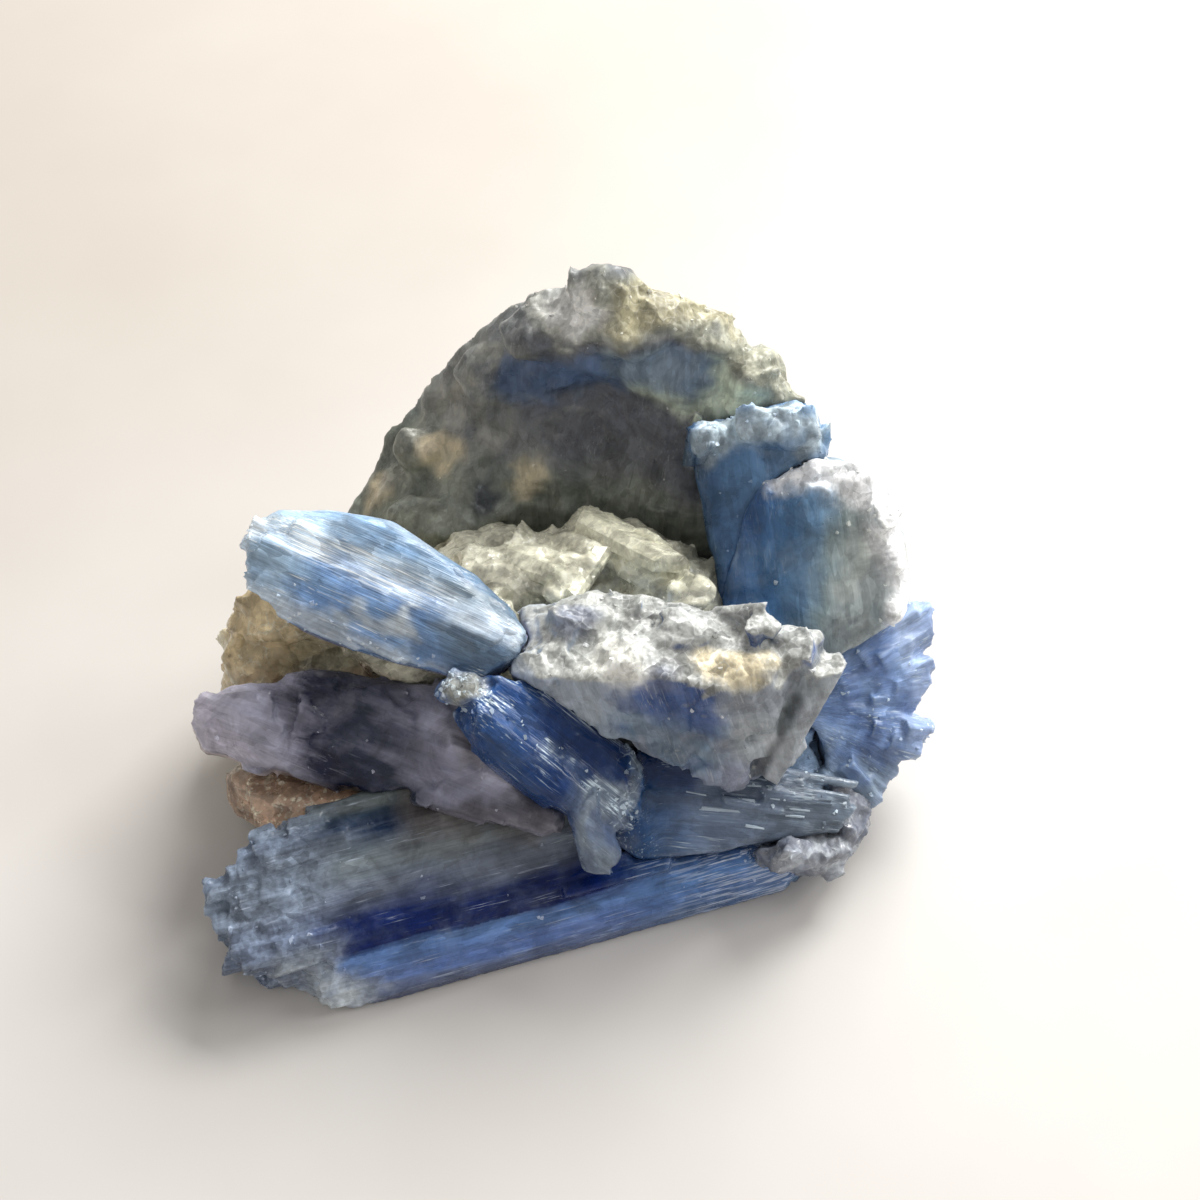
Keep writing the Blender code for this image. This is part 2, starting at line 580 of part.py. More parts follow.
def boolean(thing, operation, shells, name):
    """THING joined with or cut by all the shells at once, as a new mesh on it."""
    group = bpy.data.collections.new(name)
    helpers = [mesh_object(shell, f"{name}_{i}") for i, shell in enumerate(shells)]
    for helper in helpers:
        group.objects.link(helper)
    change = thing.modifiers.new(name, "BOOLEAN")
    change.operation = operation
    change.solver = SOLVER
    change.operand_type = "COLLECTION"
    change.collection = group
    bpy.context.view_layer.update()
    graph = bpy.context.evaluated_depsgraph_get()
    result = bpy.data.meshes.new_from_object(thing.evaluated_get(graph))
    thing.modifiers.clear()
    old = thing.data
    thing.data = result
    bpy.data.meshes.remove(old)
    for helper in helpers:
        bpy.data.objects.remove(helper, do_unlink=True)
    bpy.data.collections.remove(group)


def keep_main_body(thing):
    """Drops the chips that a cut has parted from the crystal."""
    shell = bmesh.new()
    shell.from_mesh(thing.data)
    left = set(shell.verts)
    islands = []
    while left:
        island, edge = set(), [left.pop()]
        while edge:
            vert = edge.pop()
            island.add(vert)
            for link in vert.link_edges:
                other = link.other_vert(vert)
                if other in left:
                    left.discard(other)
                    edge.append(other)
        islands.append(island)
    islands.sort(key=len, reverse=True)
    for island in islands[1:]:
        bmesh.ops.delete(shell, geom=list(island), context="VERTS")
    bmesh.ops.dissolve_limit(shell, angle_limit=FLAT, verts=shell.verts, edges=shell.edges)
    bmesh.ops.triangulate(shell, faces=shell.faces)
    shell.to_mesh(thing.data)
    shell.free()


def material(name, colour, roughness, transmission):
    made = bpy.data.materials.new(name)
    made.use_nodes = True
    made.diffuse_color = (*colour, 1.0)
    shader = made.node_tree.nodes["Principled BSDF"]
    shader.inputs["Base Color"].default_value = (*colour, 1.0)
    shader.inputs["Roughness"].default_value = roughness
    shader.inputs["Metallic"].default_value = 0.0
    shader.inputs["Transmission Weight"].default_value = transmission
    return made


def box_of(points):
    return [(min(p[i] for p in points), max(p[i] for p in points)) for i in range(3)]


def near(box, other):
    return all(a[0] <= b[1] + GAP and b[0] <= a[1] + GAP for a, b in zip(box, other))


def crystal(name, first, others, cutters, finish):
    """One crystal: FIRST joined with OTHERS, cut clear of its neighbours by CUTTERS."""
    thing = mesh_object(first, name)
    if others:
        boolean(thing, "UNION", [hull_mesh(points) for points in others], name + "_join")
    box = box_of([v.co for v in thing.data.vertices])
    touching = [points for points in cutters if near(box, box_of(points))]
    if touching:
        boolean(thing, "DIFFERENCE", [hull_mesh(grown(points, GAP)) for points in touching], name + "_cut")
    keep_main_body(thing)
    thing.data.transform(Matrix.Scale(MM, 4))
    thing.data.materials.clear()
    thing.data.materials.append(material(name + "_finish", *finish))
    return thing


def envelope(laths):
    """Corners of one convex shape round all the laths."""
    return [corner for lath in laths for corner in lath]


def rest_on_origin(things):
    """Shifts the cluster so that the middle of its box, at the bottom, is the origin."""
    corners = [v.co for thing in things for v in thing.data.vertices]
    low = Vector(min(c[i] for c in corners) for i in range(3))
    high = Vector(max(c[i] for c in corners) for i in range(3))
    shift = Vector(((low.x + high.x) / 2, (low.y + high.y) / 2, low.z))
    for thing in things:
        thing.data.transform(Matrix.Translation(-shift))


def build():
    clear_scene()
    upper_left = blade_laths(UPPER_LEFT_BLADE)
    middle = blade_laths(MIDDLE_BLADE)
    bend = blade_laths(MIDDLE_BLADE_BEND)
    middle_extras = [prism(p) for p in MIDDLE_PRISMS] + [lump(p) for p in JOINT_CHIPS]
    block = block_chunks()
    block_extras = [lump(p) for p in BLOCK_LUMPS] + [prism(p) for p in BLOCK_PRISMS]
    front = blade_laths(FRONT_BLADE)
    lower_left = blade_laths(LOWER_LEFT_BLADE)
    right = blade_laths(RIGHT_BLADE)
    right_extras = [lump(p) for p in RIGHT_BLADE_LUMPS]
    rim = blade_laths(RIGHT_RIM_BLADE)
    rim_extras = [lump(p) for p in RIM_LUMPS]
    fan = fan_laths()
    corner = [lump(p) for p in CORNER_LUMPS]
    quartz = [quartz_body()] + [lump(p) for p in QUARTZ_LUMPS] + [prism(p) for p in QUARTZ_PRISMS]
    back = back_columns() + [lump(p) for p in BACK_LUMPS] + [prism(p) for p in BACK_PRISMS]

    middle_shapes = [envelope(middle), envelope(bend)] + middle_extras
    # Name, solids, the shapes that the crystals after it are cut clear of, and finish.
    order = [
        ("upper_left_blade", upper_left, [envelope(upper_left)], PALE_BLUE),
        ("middle_blade", middle + bend + middle_extras, middle_shapes, DEEP_BLUE),
        ("centre_block", block + block_extras, block + block_extras, SUGAR_WHITE),
        ("corner_quartz", corner, corner, QUARTZ),
        ("front_blade", front, [envelope(front)], FRONT_BLUE),
        ("lower_left_blade", lower_left, [envelope(lower_left)], VIOLET_GREY),
        ("right_rim_blade", rim + rim_extras, [envelope(rim)] + rim_extras, RIM_GREY),
        ("right_blade", right + right_extras, [envelope(right)] + right_extras, SMOOTH_BLUE),
        ("right_fan", fan, [envelope(fan)], BRIGHT_BLUE),
        ("quartz_matrix", quartz, quartz, QUARTZ),
    ]
    things = []
    before = []
    for name, solids, shapes, finish in order:
        things.append(crystal(name, hull_mesh(solids[0]), solids[1:], before, finish))
        before += shapes
    things.append(crystal("back_mass", back_shell(), back, before, BACK_GREY))
    rest_on_origin(things)


build()
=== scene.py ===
"""Kyanite blade cluster: the finish of every crystal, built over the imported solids.

Each node is copied, remeshed finely and given the relief of its kind of crystal: long steps and
striae on kyanite, broken facets on quartz. A crystal's lengths are in millimetres, and turn to
metres as it is placed; a name that ends in _m or _M is in metres.
"""

import itertools
import math
from collections import namedtuple

import bmesh
import bpy
import numpy as np
from mathutils.bvhtree import BVHTree
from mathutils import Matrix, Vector


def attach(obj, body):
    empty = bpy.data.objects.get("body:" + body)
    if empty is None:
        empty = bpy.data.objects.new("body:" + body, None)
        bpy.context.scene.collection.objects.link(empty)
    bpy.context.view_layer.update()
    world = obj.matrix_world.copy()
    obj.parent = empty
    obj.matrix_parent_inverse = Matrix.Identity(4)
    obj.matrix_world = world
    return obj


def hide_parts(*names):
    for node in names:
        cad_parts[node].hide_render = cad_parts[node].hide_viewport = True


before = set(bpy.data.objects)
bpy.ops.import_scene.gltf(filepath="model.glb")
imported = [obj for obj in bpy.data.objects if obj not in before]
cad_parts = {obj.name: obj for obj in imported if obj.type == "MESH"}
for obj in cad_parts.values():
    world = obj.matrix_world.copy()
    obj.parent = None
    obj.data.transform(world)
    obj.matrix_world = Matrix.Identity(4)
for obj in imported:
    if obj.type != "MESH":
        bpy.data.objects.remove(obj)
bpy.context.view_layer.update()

MM = 0.001
ROUGH_VOXEL = 0.40
FINE_VOXEL = 0.25
SWELL = 0.12              # closes the space that the solids keep between neighbours

# Where the camera looks, how steeply it looks down and from how far.
TARGET = Vector((3.27, 2.42, 22.2))
TILT = math.radians(56.0)
DISTANCE = 168.0
LENS = 50.0
SENSOR = 36.0
LIT_M = Vector((0.0, 0.0, 0.015))  # where the lamps point
FLOOR_M = 3.0

LIFT = 1.66               # how much paler a base colour is than the crystal looks
SHEEN = 0.014             # the white that the gloss adds
DARKEST, PALEST = 0.003, 0.95

# Large odd numbers that scramble a cell's place into a key, and a key into numbers.
PLACE_PRIMES = (73856093, 19349663, 83492791)
SEED_PRIME = 2654435761
KEY_PRIMES = (2246822519, 3266489917)
DRAW_PRIMES = (2654435769, 2246822507)
DRAW_STEP = 977
LOW_BITS = 0xFFFFFFFF
FAR = 1e3                 # further than any point of the cluster is from another
SHRINK, GROW = 0.55, -0.57  # the two steps of a softening round
BITS_SEED, LOOSE_SEED = 20, 50
MOSTLY_SMALL = 1.6        # above 1, so that small crystals outnumber large ones in a growth
END_SIZE, END_SLANT, BAR_SHINE = 0.86, 0.45, 0.25  # the far end of a bar, and how strongly its painted glint pales it


# ---------------------------------------------------------------- numbers from places

def cell_key(cells, seed):
    """A whole number for each cell, the same on every run."""
    cells = cells.astype(np.int64)
    key = np.full(len(cells), seed * SEED_PRIME)
    for axis, prime in enumerate(PLACE_PRIMES):
        key ^= cells[:, axis] * prime
    key = (key & LOW_BITS).astype(np.uint64)
    for prime, shift in zip(KEY_PRIMES, (15, 13)):
        key = scrambled(key, shift) * np.uint64(prime) & np.uint64(LOW_BITS)
    return scrambled(key, 16)


def scrambled(key, shift):
    return key ^ key >> np.uint64(shift)


def draw(key, turn):
    """The TURN-th of the numbers from 0 to 1 that belong to each key."""
    mixed = (key + np.uint64(turn * DRAW_STEP)) * np.uint64(DRAW_PRIMES[0]) & np.uint64(LOW_BITS)
    mixed = scrambled(mixed, 14) * np.uint64(DRAW_PRIMES[1]) & np.uint64(LOW_BITS)
    return (mixed >> np.uint64(8)).astype(float) / float(1 << 24)


def smooth_noise(p, seed):
    """Soft noise from -1 to 1, with features one unit across."""
    cell = np.floor(p)
    t = p - cell
    t = t * t * t * (t * (t * 6 - 15) + 10)
    total = np.zeros(len(p))
    for corner in itertools.product((0, 1), repeat=3):
        weight = np.ones(len(p))
        for axis, far in enumerate(corner):
            weight *= t[:, axis] if far else 1 - t[:, axis]
        total += weight * draw(cell_key(cell + np.array(corner), seed), 0)
    return 2 * total - 1


def clouds(p, seed, octaves=3):
    """Smooth noise over several sizes, each half as large as the one before."""
    total = np.zeros(len(p))
    size = 1.0
    for octave in range(octaves):
        total += smooth_noise(p * (1.0 / size) + 17.3 * octave, seed + octave) * size
        size *= 0.5
    return total / 1.5


def chips(p, seed):
    """For each point, the key of the chip it lies in and where it lies from the chip's middle."""
    base = np.floor(p)
    count = len(p)
    nearest = np.full(count, FAR)
    owner = np.zeros(count, np.uint64)
    offset = np.zeros((count, 3))
    for step in itertools.product((-1, 0, 1), repeat=3):
        cell = base + np.array(step)
        key = cell_key(cell, seed)
        middle = cell + np.stack([draw(key, k) for k in (1, 2, 3)], axis=1)
        away = p - middle
        reach = np.zeros(count)
        for side in (4, 6, 8):
            reach = np.maximum(reach, np.abs((away * direction(key, side)).sum(1)))
        closer = reach < nearest
        nearest = np.where(closer, reach, nearest)
        owner = np.where(closer, key, owner)
        offset = np.where(closer[:, None], away, offset)
    return owner, offset


def direction(key, turn):
    """A unit vector that belongs to each key."""
    z = 2 * draw(key, turn) - 1
    around = 2 * math.pi * draw(key, turn + 1)
    ring = np.sqrt(1 - z * z)
    return np.stack([ring * np.cos(around), ring * np.sin(around), z], axis=1)


def facets(co, size, seed):
    """Broken facets about SIZE across, from about -0.5 to 0.5 high: each is a tilted plane."""
    owner, offset = chips(co / size, seed)
    return 0.55 * (draw(owner, 11) - 0.5) + 0.7 * (offset * direction(owner, 12)).sum(1)


def laths(across, along, width, seed):
    """Uneven strips about WIDTH wide, each -0.5 to 0.5 high and broken here and there along it."""
    cell = np.floor(across / width)
    best = np.full(len(across), FAR)
    owner = np.zeros(len(across))
    for step in (-1, 0, 1):
        near = cell + step
        cells = np.stack([near, near * 0, near * 0], axis=1)
        middle = near + 0.1 + 0.8 * draw(cell_key(cells, seed), 1)
        gap = np.abs(across / width - middle)
        owner = np.where(gap < best, near, owner)
        best = np.minimum(best, gap)
    key = cell_key(np.stack([owner, owner * 0, owner * 0], axis=1), seed)
    length = width * (5 + 9 * draw(key, 2))
    part = np.floor(along / length + 7 * draw(key, 3))
    broken = cell_key(np.stack([owner, part, owner * 0 + 1], axis=1), seed)
    return 0.6 * draw(key, 4) + 0.4 * draw(broken, 5) - 0.5


def squeezed(place, *sizes):
    """The places, counted in units of a size for each of their three directions."""
    return place * np.array([1 / size for size in sizes])


def ramp_up(value, low, high):
    """0 below LOW, 1 above HIGH and smooth between them; LOW may be the larger of the two."""
    t = np.clip((value - low) / (high - low), 0, 1)
    return t * t * (3 - 2 * t)


def loosened(co, by=1.5, size=3.0):
    """The places, each pushed about by soft noise, so that a patch laid by them has a ragged edge."""
    return co + by * np.stack([clouds(co / size, seed) for seed in (201, 202, 203)], axis=1)


def near_points(co, points, reach):
    """1 at any of the points, falling to 0 at REACH from it."""
    gap = np.full(len(co), FAR)
    for point in points:
        gap = np.minimum(gap, np.linalg.norm(co - np.array(point), axis=1))
    return ramp_up(gap, 1.15 * reach, 0.15 * reach)


def near_line(co, line, reach):
    """1 on the line through the points, falling to 0 at REACH from it."""
    gap = np.full(len(co), FAR)
    for a, b in zip(line, line[1:]):
        a, b = np.array(a), np.array(b)
        t = np.clip(((co - a) @ (b - a)) / ((b - a) @ (b - a)), 0, 1)
        gap = np.minimum(gap, np.linalg.norm(co - a - t[:, None] * (b - a), axis=1))
    return ramp_up(gap, 1.15 * reach, 0.15 * reach)


# ---------------------------------------------------------------- the way a crystal grew

def unit(v):
    v = np.array(v, float)
    return v / np.linalg.norm(v)


def straight(point, run, normal):
    """Grain that runs one way: places in (along, across, up) and those three directions."""
    up = unit(normal)
    along = unit(np.array(run) - np.dot(run, up) * up)
    axes = np.stack([along, np.cross(up, along), up])

    def grain(co):
        return (co - np.array(point)) @ axes.T, np.broadcast_to(axes, (len(co), 3, 3))
    return grain


def radiating(root, normal, reach):
    """Grain that spreads from ROOT over a plane: places are (out, round at REACH, up)."""
    up = unit(normal)
    first = unit(np.cross((0.0, 1.0, 0.0), up))
    second = np.cross(up, first)

    def grain(co):
        away = co - np.array(root)
        height = away @ up
        x, y = away @ first, away @ second
        out = np.hypot(x, y) + 1e-6
        along = (x[:, None] * first + y[:, None] * second) / out[:, None]
        across = np.cross(np.broadcast_to(up, along.shape), along)
        axes = np.stack([along, across, np.broadcast_to(up, along.shape)], axis=1)
        return np.stack([out, np.arctan2(y, x) * reach, height], axis=1), axes
    return grain


def bent(first, second, start, end):
    """Grain that turns from one straight grain to another between START and END in X."""
    def grain(co):
        a, axes_a = first(co)
        b, axes_b = second(co)
        t = ramp_up(co[:, 0], start, end)[:, None]
        return a * (1 - t) + b * t, axes_a * (1 - t[:, :, None]) + axes_b * t[:, :, None]
    return grain


# ---------------------------------------------------------------- meshes

def cad_copy(node):
    """The node's solid as a closed mesh, in millimetres."""
    shell = bmesh.new()
    shell.from_mesh(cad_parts[node].data)
    bmesh.ops.remove_doubles(shell, verts=shell.verts, dist=1e-6)
    bmesh.ops.scale(shell, verts=shell.verts, vec=(1 / MM,) * 3)
    mesh = bpy.data.meshes.new(node + "_work")
    shell.to_mesh(mesh)
    shell.free()
    return mesh


def remeshed(mesh, voxel):
    """The mesh's skin again, as even squares VOXEL across."""
    thing = bpy.data.objects.new("remesh", mesh)
    bpy.context.scene.collection.objects.link(thing)
    change = thing.modifiers.new("remesh", "REMESH")
    change.mode = "VOXEL"
    change.voxel_size = voxel
    graph = bpy.context.evaluated_depsgraph_get()
    graph.update()
    fine = bpy.data.meshes.new_from_object(thing.evaluated_get(graph))
    bpy.data.objects.remove(thing)
    bpy.data.meshes.remove(mesh)
    return fine


def vectors(items, name):
    """A three-number property of every item of a mesh, one row for each."""
    rows = np.empty(len(items) * 3, np.float32)
    items.foreach_get(name, rows)
    return rows.reshape(-1, 3).astype(float)


def places(mesh):
    return vectors(mesh.vertices, "co"), vectors(mesh.vertices, "normal")


def move(mesh, co):
    mesh.vertices.foreach_set("co", co.astype(np.float32).ravel())
    mesh.update()


def ends_of(mesh):
    ends = np.empty(len(mesh.edges) * 2, np.int32)
    mesh.edges.foreach_get("vertices", ends)
    return ends.reshape(-1, 2)


def neighbour_mean(values, ends):
    """For each vertex, the mean of VALUES over the vertices that share an edge with it."""
    count = len(values)
    both = np.concatenate([ends, ends[:, ::-1]])
    number = np.bincount(both[:, 0], minlength=count)[:, None]
    columns = values.reshape(count, -1)
    total = [np.bincount(both[:, 0], column[both[:, 1]], minlength=count) for column in columns.T]
    return (np.stack(total, axis=1) / np.maximum(number, 1)).reshape(values.shape)


def soften(mesh, rounds):
    """Rounds the mesh's edges and steps off, with little loss of size."""
    co, _ = places(mesh)
    ends = ends_of(mesh)
    for turn in range(2 * rounds):
        co += (GROW if turn % 2 else SHRINK) * (neighbour_mean(co, ends) - co)
    move(mesh, co)


def sharpness(mesh, voxel, rounds):
    """How much each place stands out (above 0) or lies in a groove (below 0), smoothed."""
    co, normal = places(mesh)
    ends = ends_of(mesh)
    for _ in range(rounds):
        co = 0.5 * co + 0.5 * neighbour_mean(co, ends)
    start, _ = places(mesh)
    bulge = ((start - co) * normal).sum(1) / voxel
    for _ in range(2):
        bulge = 0.5 * bulge + 0.5 * neighbour_mean(bulge, ends)
    return bulge


def keep(mesh, name, values):
    kind = "FLOAT_VECTOR" if values.ndim == 2 else "FLOAT"
    made = mesh.attributes.new(name, kind, "POINT")
    made.data.foreach_set("vector" if values.ndim == 2 else "value", values.astype(np.float32).ravel())


# A growth is many small straight crystals on a crystal's skin. LENGTH, WIDTH, DEPTH, PROUD (how far
# they stand out), OVERHANG (how far they reach past the crystal's edge), TILT (radians off the grain)
# and TAPER are lowest and highest values. SHINE is how strongly a painted glint pales them, and
# WHERE(co, normal) how likely they are at a place.
Growth = namedtuple("Growth", "count length width depth proud overhang tilt taper shine where")


def plates(count, size, proud, where):
    """Flat steps that lie along the grain and end inside the blade."""
    return Growth(count, (2.4 * size, 8.0 * size), (0.6 * size, 2.0 * size), (0.3 * size, 0.6 * size),
                  (0.0, proud), (-1.0, -0.1), (0.0, 0.02), (0.9, 1.0), 0.0, where)


def blocks(count, size, proud, where, overhang=0.0):
    """Short broken blocks along the grain, as at a blade's end."""
    return Growth(count, (1.0 * size, 3.0 * size), (0.6 * size, 1.6 * size), (0.5 * size, 1.1 * size),
                  (0.0, proud), (-0.4, overhang), (0.0, 0.16), (0.7, 1.0), 0.1, where)


def shards(count, size, proud, where, shine=0.15):
    """Pieces that lie every way, as in broken quartz and sugary crusts."""
    return Growth(count, (0.7 * size, 2.2 * size), (0.5 * size, 1.4 * size), (0.4 * size, 1.0 * size),
                  (-0.1 * size, proud), (-0.3, 0.1), (0.2, 1.5), (0.4, 1.0), shine, where)


def slivers(count, size, where):
    """Thin laths, painted pale as glints."""
    return Growth(count, (1.0 * size, 4.0 * size), (0.12 * size, 0.36 * size), (0.15 * size, 0.3 * size),
                  (0.02, 0.1), (-0.2, 0.0), (0.0, 0.15), (0.5, 1.0), 1.0, where)


# The section of a small crystal, (across, up), and its faces between two such rings of corners.
RING = np.array([(-1, -1), (-1, 0.2), (-0.55, 1), (0.55, 1), (1, 0.2), (1, -1)], float)
SIDES = [(k, k + 6, (k + 1) % 6 + 6, (k + 1) % 6) for k in range(6)]
CAPS = [(0, 1, 2, 3, 4, 5), (11, 10, 9, 8, 7, 6)]


def spots(mesh, count, where, random):
    """Places on the mesh's faces, their normals, picked by area and by WHERE."""
    centre = vectors(mesh.polygons, "center")
    normal = vectors(mesh.polygons, "normal")
    area = np.empty(len(centre), np.float32)
    mesh.polygons.foreach_get("area", area)
    chance = np.cumsum(area * np.clip(where(centre, normal), 0, 1))
    picked = np.searchsorted(chance, random.random(count) * chance[-1])
    picked = np.minimum(picked, len(centre) - 1)
    return centre[picked], normal[picked]


def rows_unit(v):
    return v / np.maximum(np.linalg.norm(v, axis=1, keepdims=True), 1e-9)


def room(tree, at, along, most):
    """How far one can go from each place along its direction before leaving the crystal, up to
    MOST. It's nothing for a place that lies outside."""
    found = np.empty(len(at))
    for i, (start, way) in enumerate(zip(at, along)):
        far = tree.ray_cast(Vector(start), Vector(way))[3]
        found[i] = 0.0 if far is None else min(far, most)
    return found


def small_crystals(tree, mesh, grain, growth, seed):
    """Corners and faces of a growth, and the normal of the skin under each corner. Each small
    crystal ends no more than its overhang past the surface it lies in."""
    random = np.random.default_rng(seed)
    at, normal = spots(mesh, growth.count, growth.where, random)
    off_grain = np.tan(random.uniform(*growth.tilt, growth.count))[:, None]
    along = rows_unit(grain(at)[1][:, 0] + off_grain * rows_unit(random.normal(size=(growth.count, 3))))
    across = rows_unit(np.cross(normal + 0.05 * random.normal(size=normal.shape), along))
    axes = np.stack([along, across, np.cross(along, across)], axis=1)
    shrink = random.uniform(0, 1, growth.count) ** MOSTLY_SMALL
    size = np.stack([low + (high - low) * (0.75 * shrink + 0.25 * random.random(growth.count))
                     for low, high in (growth.length, growth.width, growth.depth)], axis=1)
    deep = at - normal * (0.3 + 0.3 * size[:, 2:])
    over = random.uniform(*growth.overhang, growth.count)
    ahead, behind = (np.minimum(room(tree, deep, way, growth.length[1]) + over, size[:, 0] / 2)
                     for way in (along, -along))
    beside = np.minimum(*(room(tree, deep, way, growth.width[1]) for way in (across, -across)))
    size[:, 1] = np.minimum(size[:, 1], np.maximum(2 * beside + 0.3, 0.4 * size[:, 1]))
    at = at + along * ((ahead - behind) / 2)[:, None]
    size[:, 0] = np.maximum(ahead + behind, 0.5 * growth.length[0])
    reach = 0.5 * (np.abs(np.einsum("nij,nj->ni", axes, normal)) * size)[:, 1:].sum(1)
    at = at + normal * (random.uniform(*growth.proud, growth.count) - reach)[:, None]
    taper = random.uniform(*growth.taper, growth.count)
    slant = random.uniform(-0.5, 0.5, (growth.count, 2, 2)) * (size[:, 1] / size[:, 0])[:, None, None]
    corners = np.empty((growth.count, 12, 3))
    for end, sign in enumerate((-1.0, 1.0)):
        ring = RING[None] * (taper[:, None, None] if end else 1.0)
        corners[:, end * 6:end * 6 + 6, 0] = sign + (ring * slant[:, end, None]).sum(2)
        corners[:, end * 6:end * 6 + 6, 1:] = ring
    corners = at[:, None] + (corners * size[:, None] / 2) @ axes
    faces = [tuple(k + 12 * i for k in face) for i in range(growth.count) for face in SIDES + CAPS]
    return corners.reshape(-1, 3), faces, np.repeat(normal, 12, axis=0)


# One straight crystal with its own place: from START to END, with its broad face towards UP.
Bar = namedtuple("Bar", "start end width depth up")


def lone_crystals(bars):
    """Corners and faces of the bars, with slanted ends, and which way is up at each corner."""
    corners = np.empty((len(bars), 12, 3))
    for i, bar in enumerate(bars):
        start, end = np.array(bar.start), np.array(bar.end)
        along = unit(end - start)
        across = unit(np.cross(bar.up, along))
        up = np.cross(along, across)
        for k, (place, size) in enumerate(((start, 1.0), (end, END_SIZE))):
            ring = RING * (size * bar.width / 2, size * bar.depth / 2)
            slant = END_SLANT * ring[:, 0] * (1 if k else -1)
            corners[i, 6 * k:6 * k + 6] = place + ring @ np.stack([across, up]) + slant[:, None] * along
    faces = [tuple(k + 12 * i for k in face) for i in range(len(bars)) for face in SIDES + CAPS]
    return corners.reshape(-1, 3), faces, np.repeat([unit(bar.up) for bar in bars], 12, axis=0)


def with_growths(mesh, grain, growths, bars, seed):
    """Adds the growths and bars to the mesh. It returns how strongly a painted glint pales each small
    crystal, and the skin's normal under each of their corners."""
    shine = []
    skin = [np.empty((0, 3))]
    shell = bmesh.new()
    shell.from_mesh(mesh)
    tree = BVHTree.FromBMesh(shell)
    made = [small_crystals(tree, mesh, grain, growth, seed + i) for i, growth in enumerate(growths)]
    for growth in growths:
        shine += [growth.shine] * growth.count
    if bars:
        made.append(lone_crystals(bars))
        shine += [BAR_SHINE] * len(bars)
    for corners, faces, normal in made:
        skin.append(normal)
        added = bpy.data.meshes.new("growth")
        added.from_pydata(corners.tolist(), [], faces)
        added.shade_flat()
        shell.from_mesh(added)
        bpy.data.meshes.remove(added)
    shell.to_mesh(mesh)
    shell.free()
    return np.array(shine), np.concatenate(skin)


def crystal(node, relief, fine, masks, material, grain, seed, growths=(), grown=(), bits=(),
            bars=(), voxel=FINE_VOXEL, soft=2):
    """A CAD node's crystal: copied, softened, given its large relief, its GROWTHS and GROWN bars,
    remeshed so that they grow together, given its fine relief, and sprinkled with BITS and BARS
    that keep their edges. RELIEF and FINE return how far each place moves out. MASKS(co, loose,
    normal) returns named values for the material, where LOOSE are the loosened places."""
    mesh = remeshed(cad_copy(node), ROUGH_VOXEL)
    soften(mesh, soft)
    co, normal = places(mesh)
    co += normal * (SWELL + relief(co, normal))[:, None]
    move(mesh, co)
    with_growths(mesh, grain, growths, grown, seed)
    mesh = remeshed(mesh, voxel)
    soften(mesh, 1)
    co, normal = places(mesh)
    edge = sharpness(mesh, voxel, 4)
    co += normal * fine(co, normal, edge)[:, None]
    move(mesh, co)
    mesh.shade_smooth()
    edge = sharpness(mesh, voxel, 3)
    shine, skin = with_growths(mesh, grain, bits, bars, seed + BITS_SEED)
    co, normal = places(mesh)
    normal[len(edge):] = skin
    loose = np.random.default_rng(seed + LOOSE_SEED).random(len(shine))
    # The edge value is how sharp each place is; on the small crystals it is their painted glint. The
    # material pales the colour by it as a painted highlight.
    keep(mesh, "edge", np.concatenate([edge, np.repeat(shine * loose, 12)]))
    keep(mesh, "bit", np.concatenate([0 * edge, np.repeat(loose - 0.5, 12)]))
    keep(mesh, "grain", grain(co)[0])
    for name, values in masks(co, loosened(co), normal).items():
        keep(mesh, name, values)
    co[:, 2] = np.maximum(co[:, 2], 0.0)
    move(mesh, co * MM)
    mesh.materials.clear()
    mesh.materials.append(material)
    piece = bpy.data.objects.new(node + "_crystal", mesh)
    bpy.context.scene.collection.objects.link(piece)
    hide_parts(node)
    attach(piece, "root")
    print(node, sum(len(p.vertices) - 2 for p in mesh.polygons), "triangles")
    return piece


def anywhere(co, normal):
    return np.ones(len(co))


def kyanite_relief(grain, step, ragged, width, seed):
    """Stepped laths on the faces and sides, and a ragged break at the ends."""
    def relief(co, normal):
        place, axes = grain(co)
        facing = np.einsum("nij,nj->ni", axes, normal) ** 2
        wander = 0.5 * clouds(squeezed(place, 22, 5, 5), seed, 2)
        faces = laths(place[:, 1] + wander, place[:, 0], width, seed)
        sides = laths(place[:, 2] + wander, place[:, 0], 0.8 * width, seed + 1)
        breaks = facets(place * np.array((0.6, 1.0, 1.0)), 1.7, seed + 2)
        rise = step * (facing[:, 2] * faces + facing[:, 1] * sides)
        return rise + ragged * facing[:, 0] * breaks
    return relief


def kyanite_fine(grain, amount, seed, chipped=0.35):
    """Fine striae along the grain, and small chips off the edges."""
    def fine(co, normal, edge):
        place, axes = grain(co)
        facing = np.einsum("nij,nj->ni", axes, normal) ** 2
        shallow = 1 - facing[:, 0]
        strips = laths(place[:, 1] + place[:, 2] * 0.7, place[:, 0], 0.62, seed)
        striae = smooth_noise(squeezed(place, 9, 0.55, 0.55), seed + 3)
        rise = amount * shallow * (0.9 * strips + 0.35 * striae)
        rough = facets(co, 1.1, seed + 4)
        rise += 0.22 * facing[:, 0] * rough
        return rise - chipped * np.clip(edge - 0.35, 0, 0.8) * (0.5 + rough)
    return fine


def quartz_relief(large, small, seed):
    """Broken facets in two sizes."""
    def relief(co, normal):
        return large * facets(co, 3.6, seed) + small * facets(co, 1.5, seed + 1)
    return relief


def quartz_fine(amount, seed):
    """Small facets."""
    def fine(co, normal, edge):
        return amount * facets(co, 0.8, seed + 2)
    return fine


# ---------------------------------------------------------------- materials

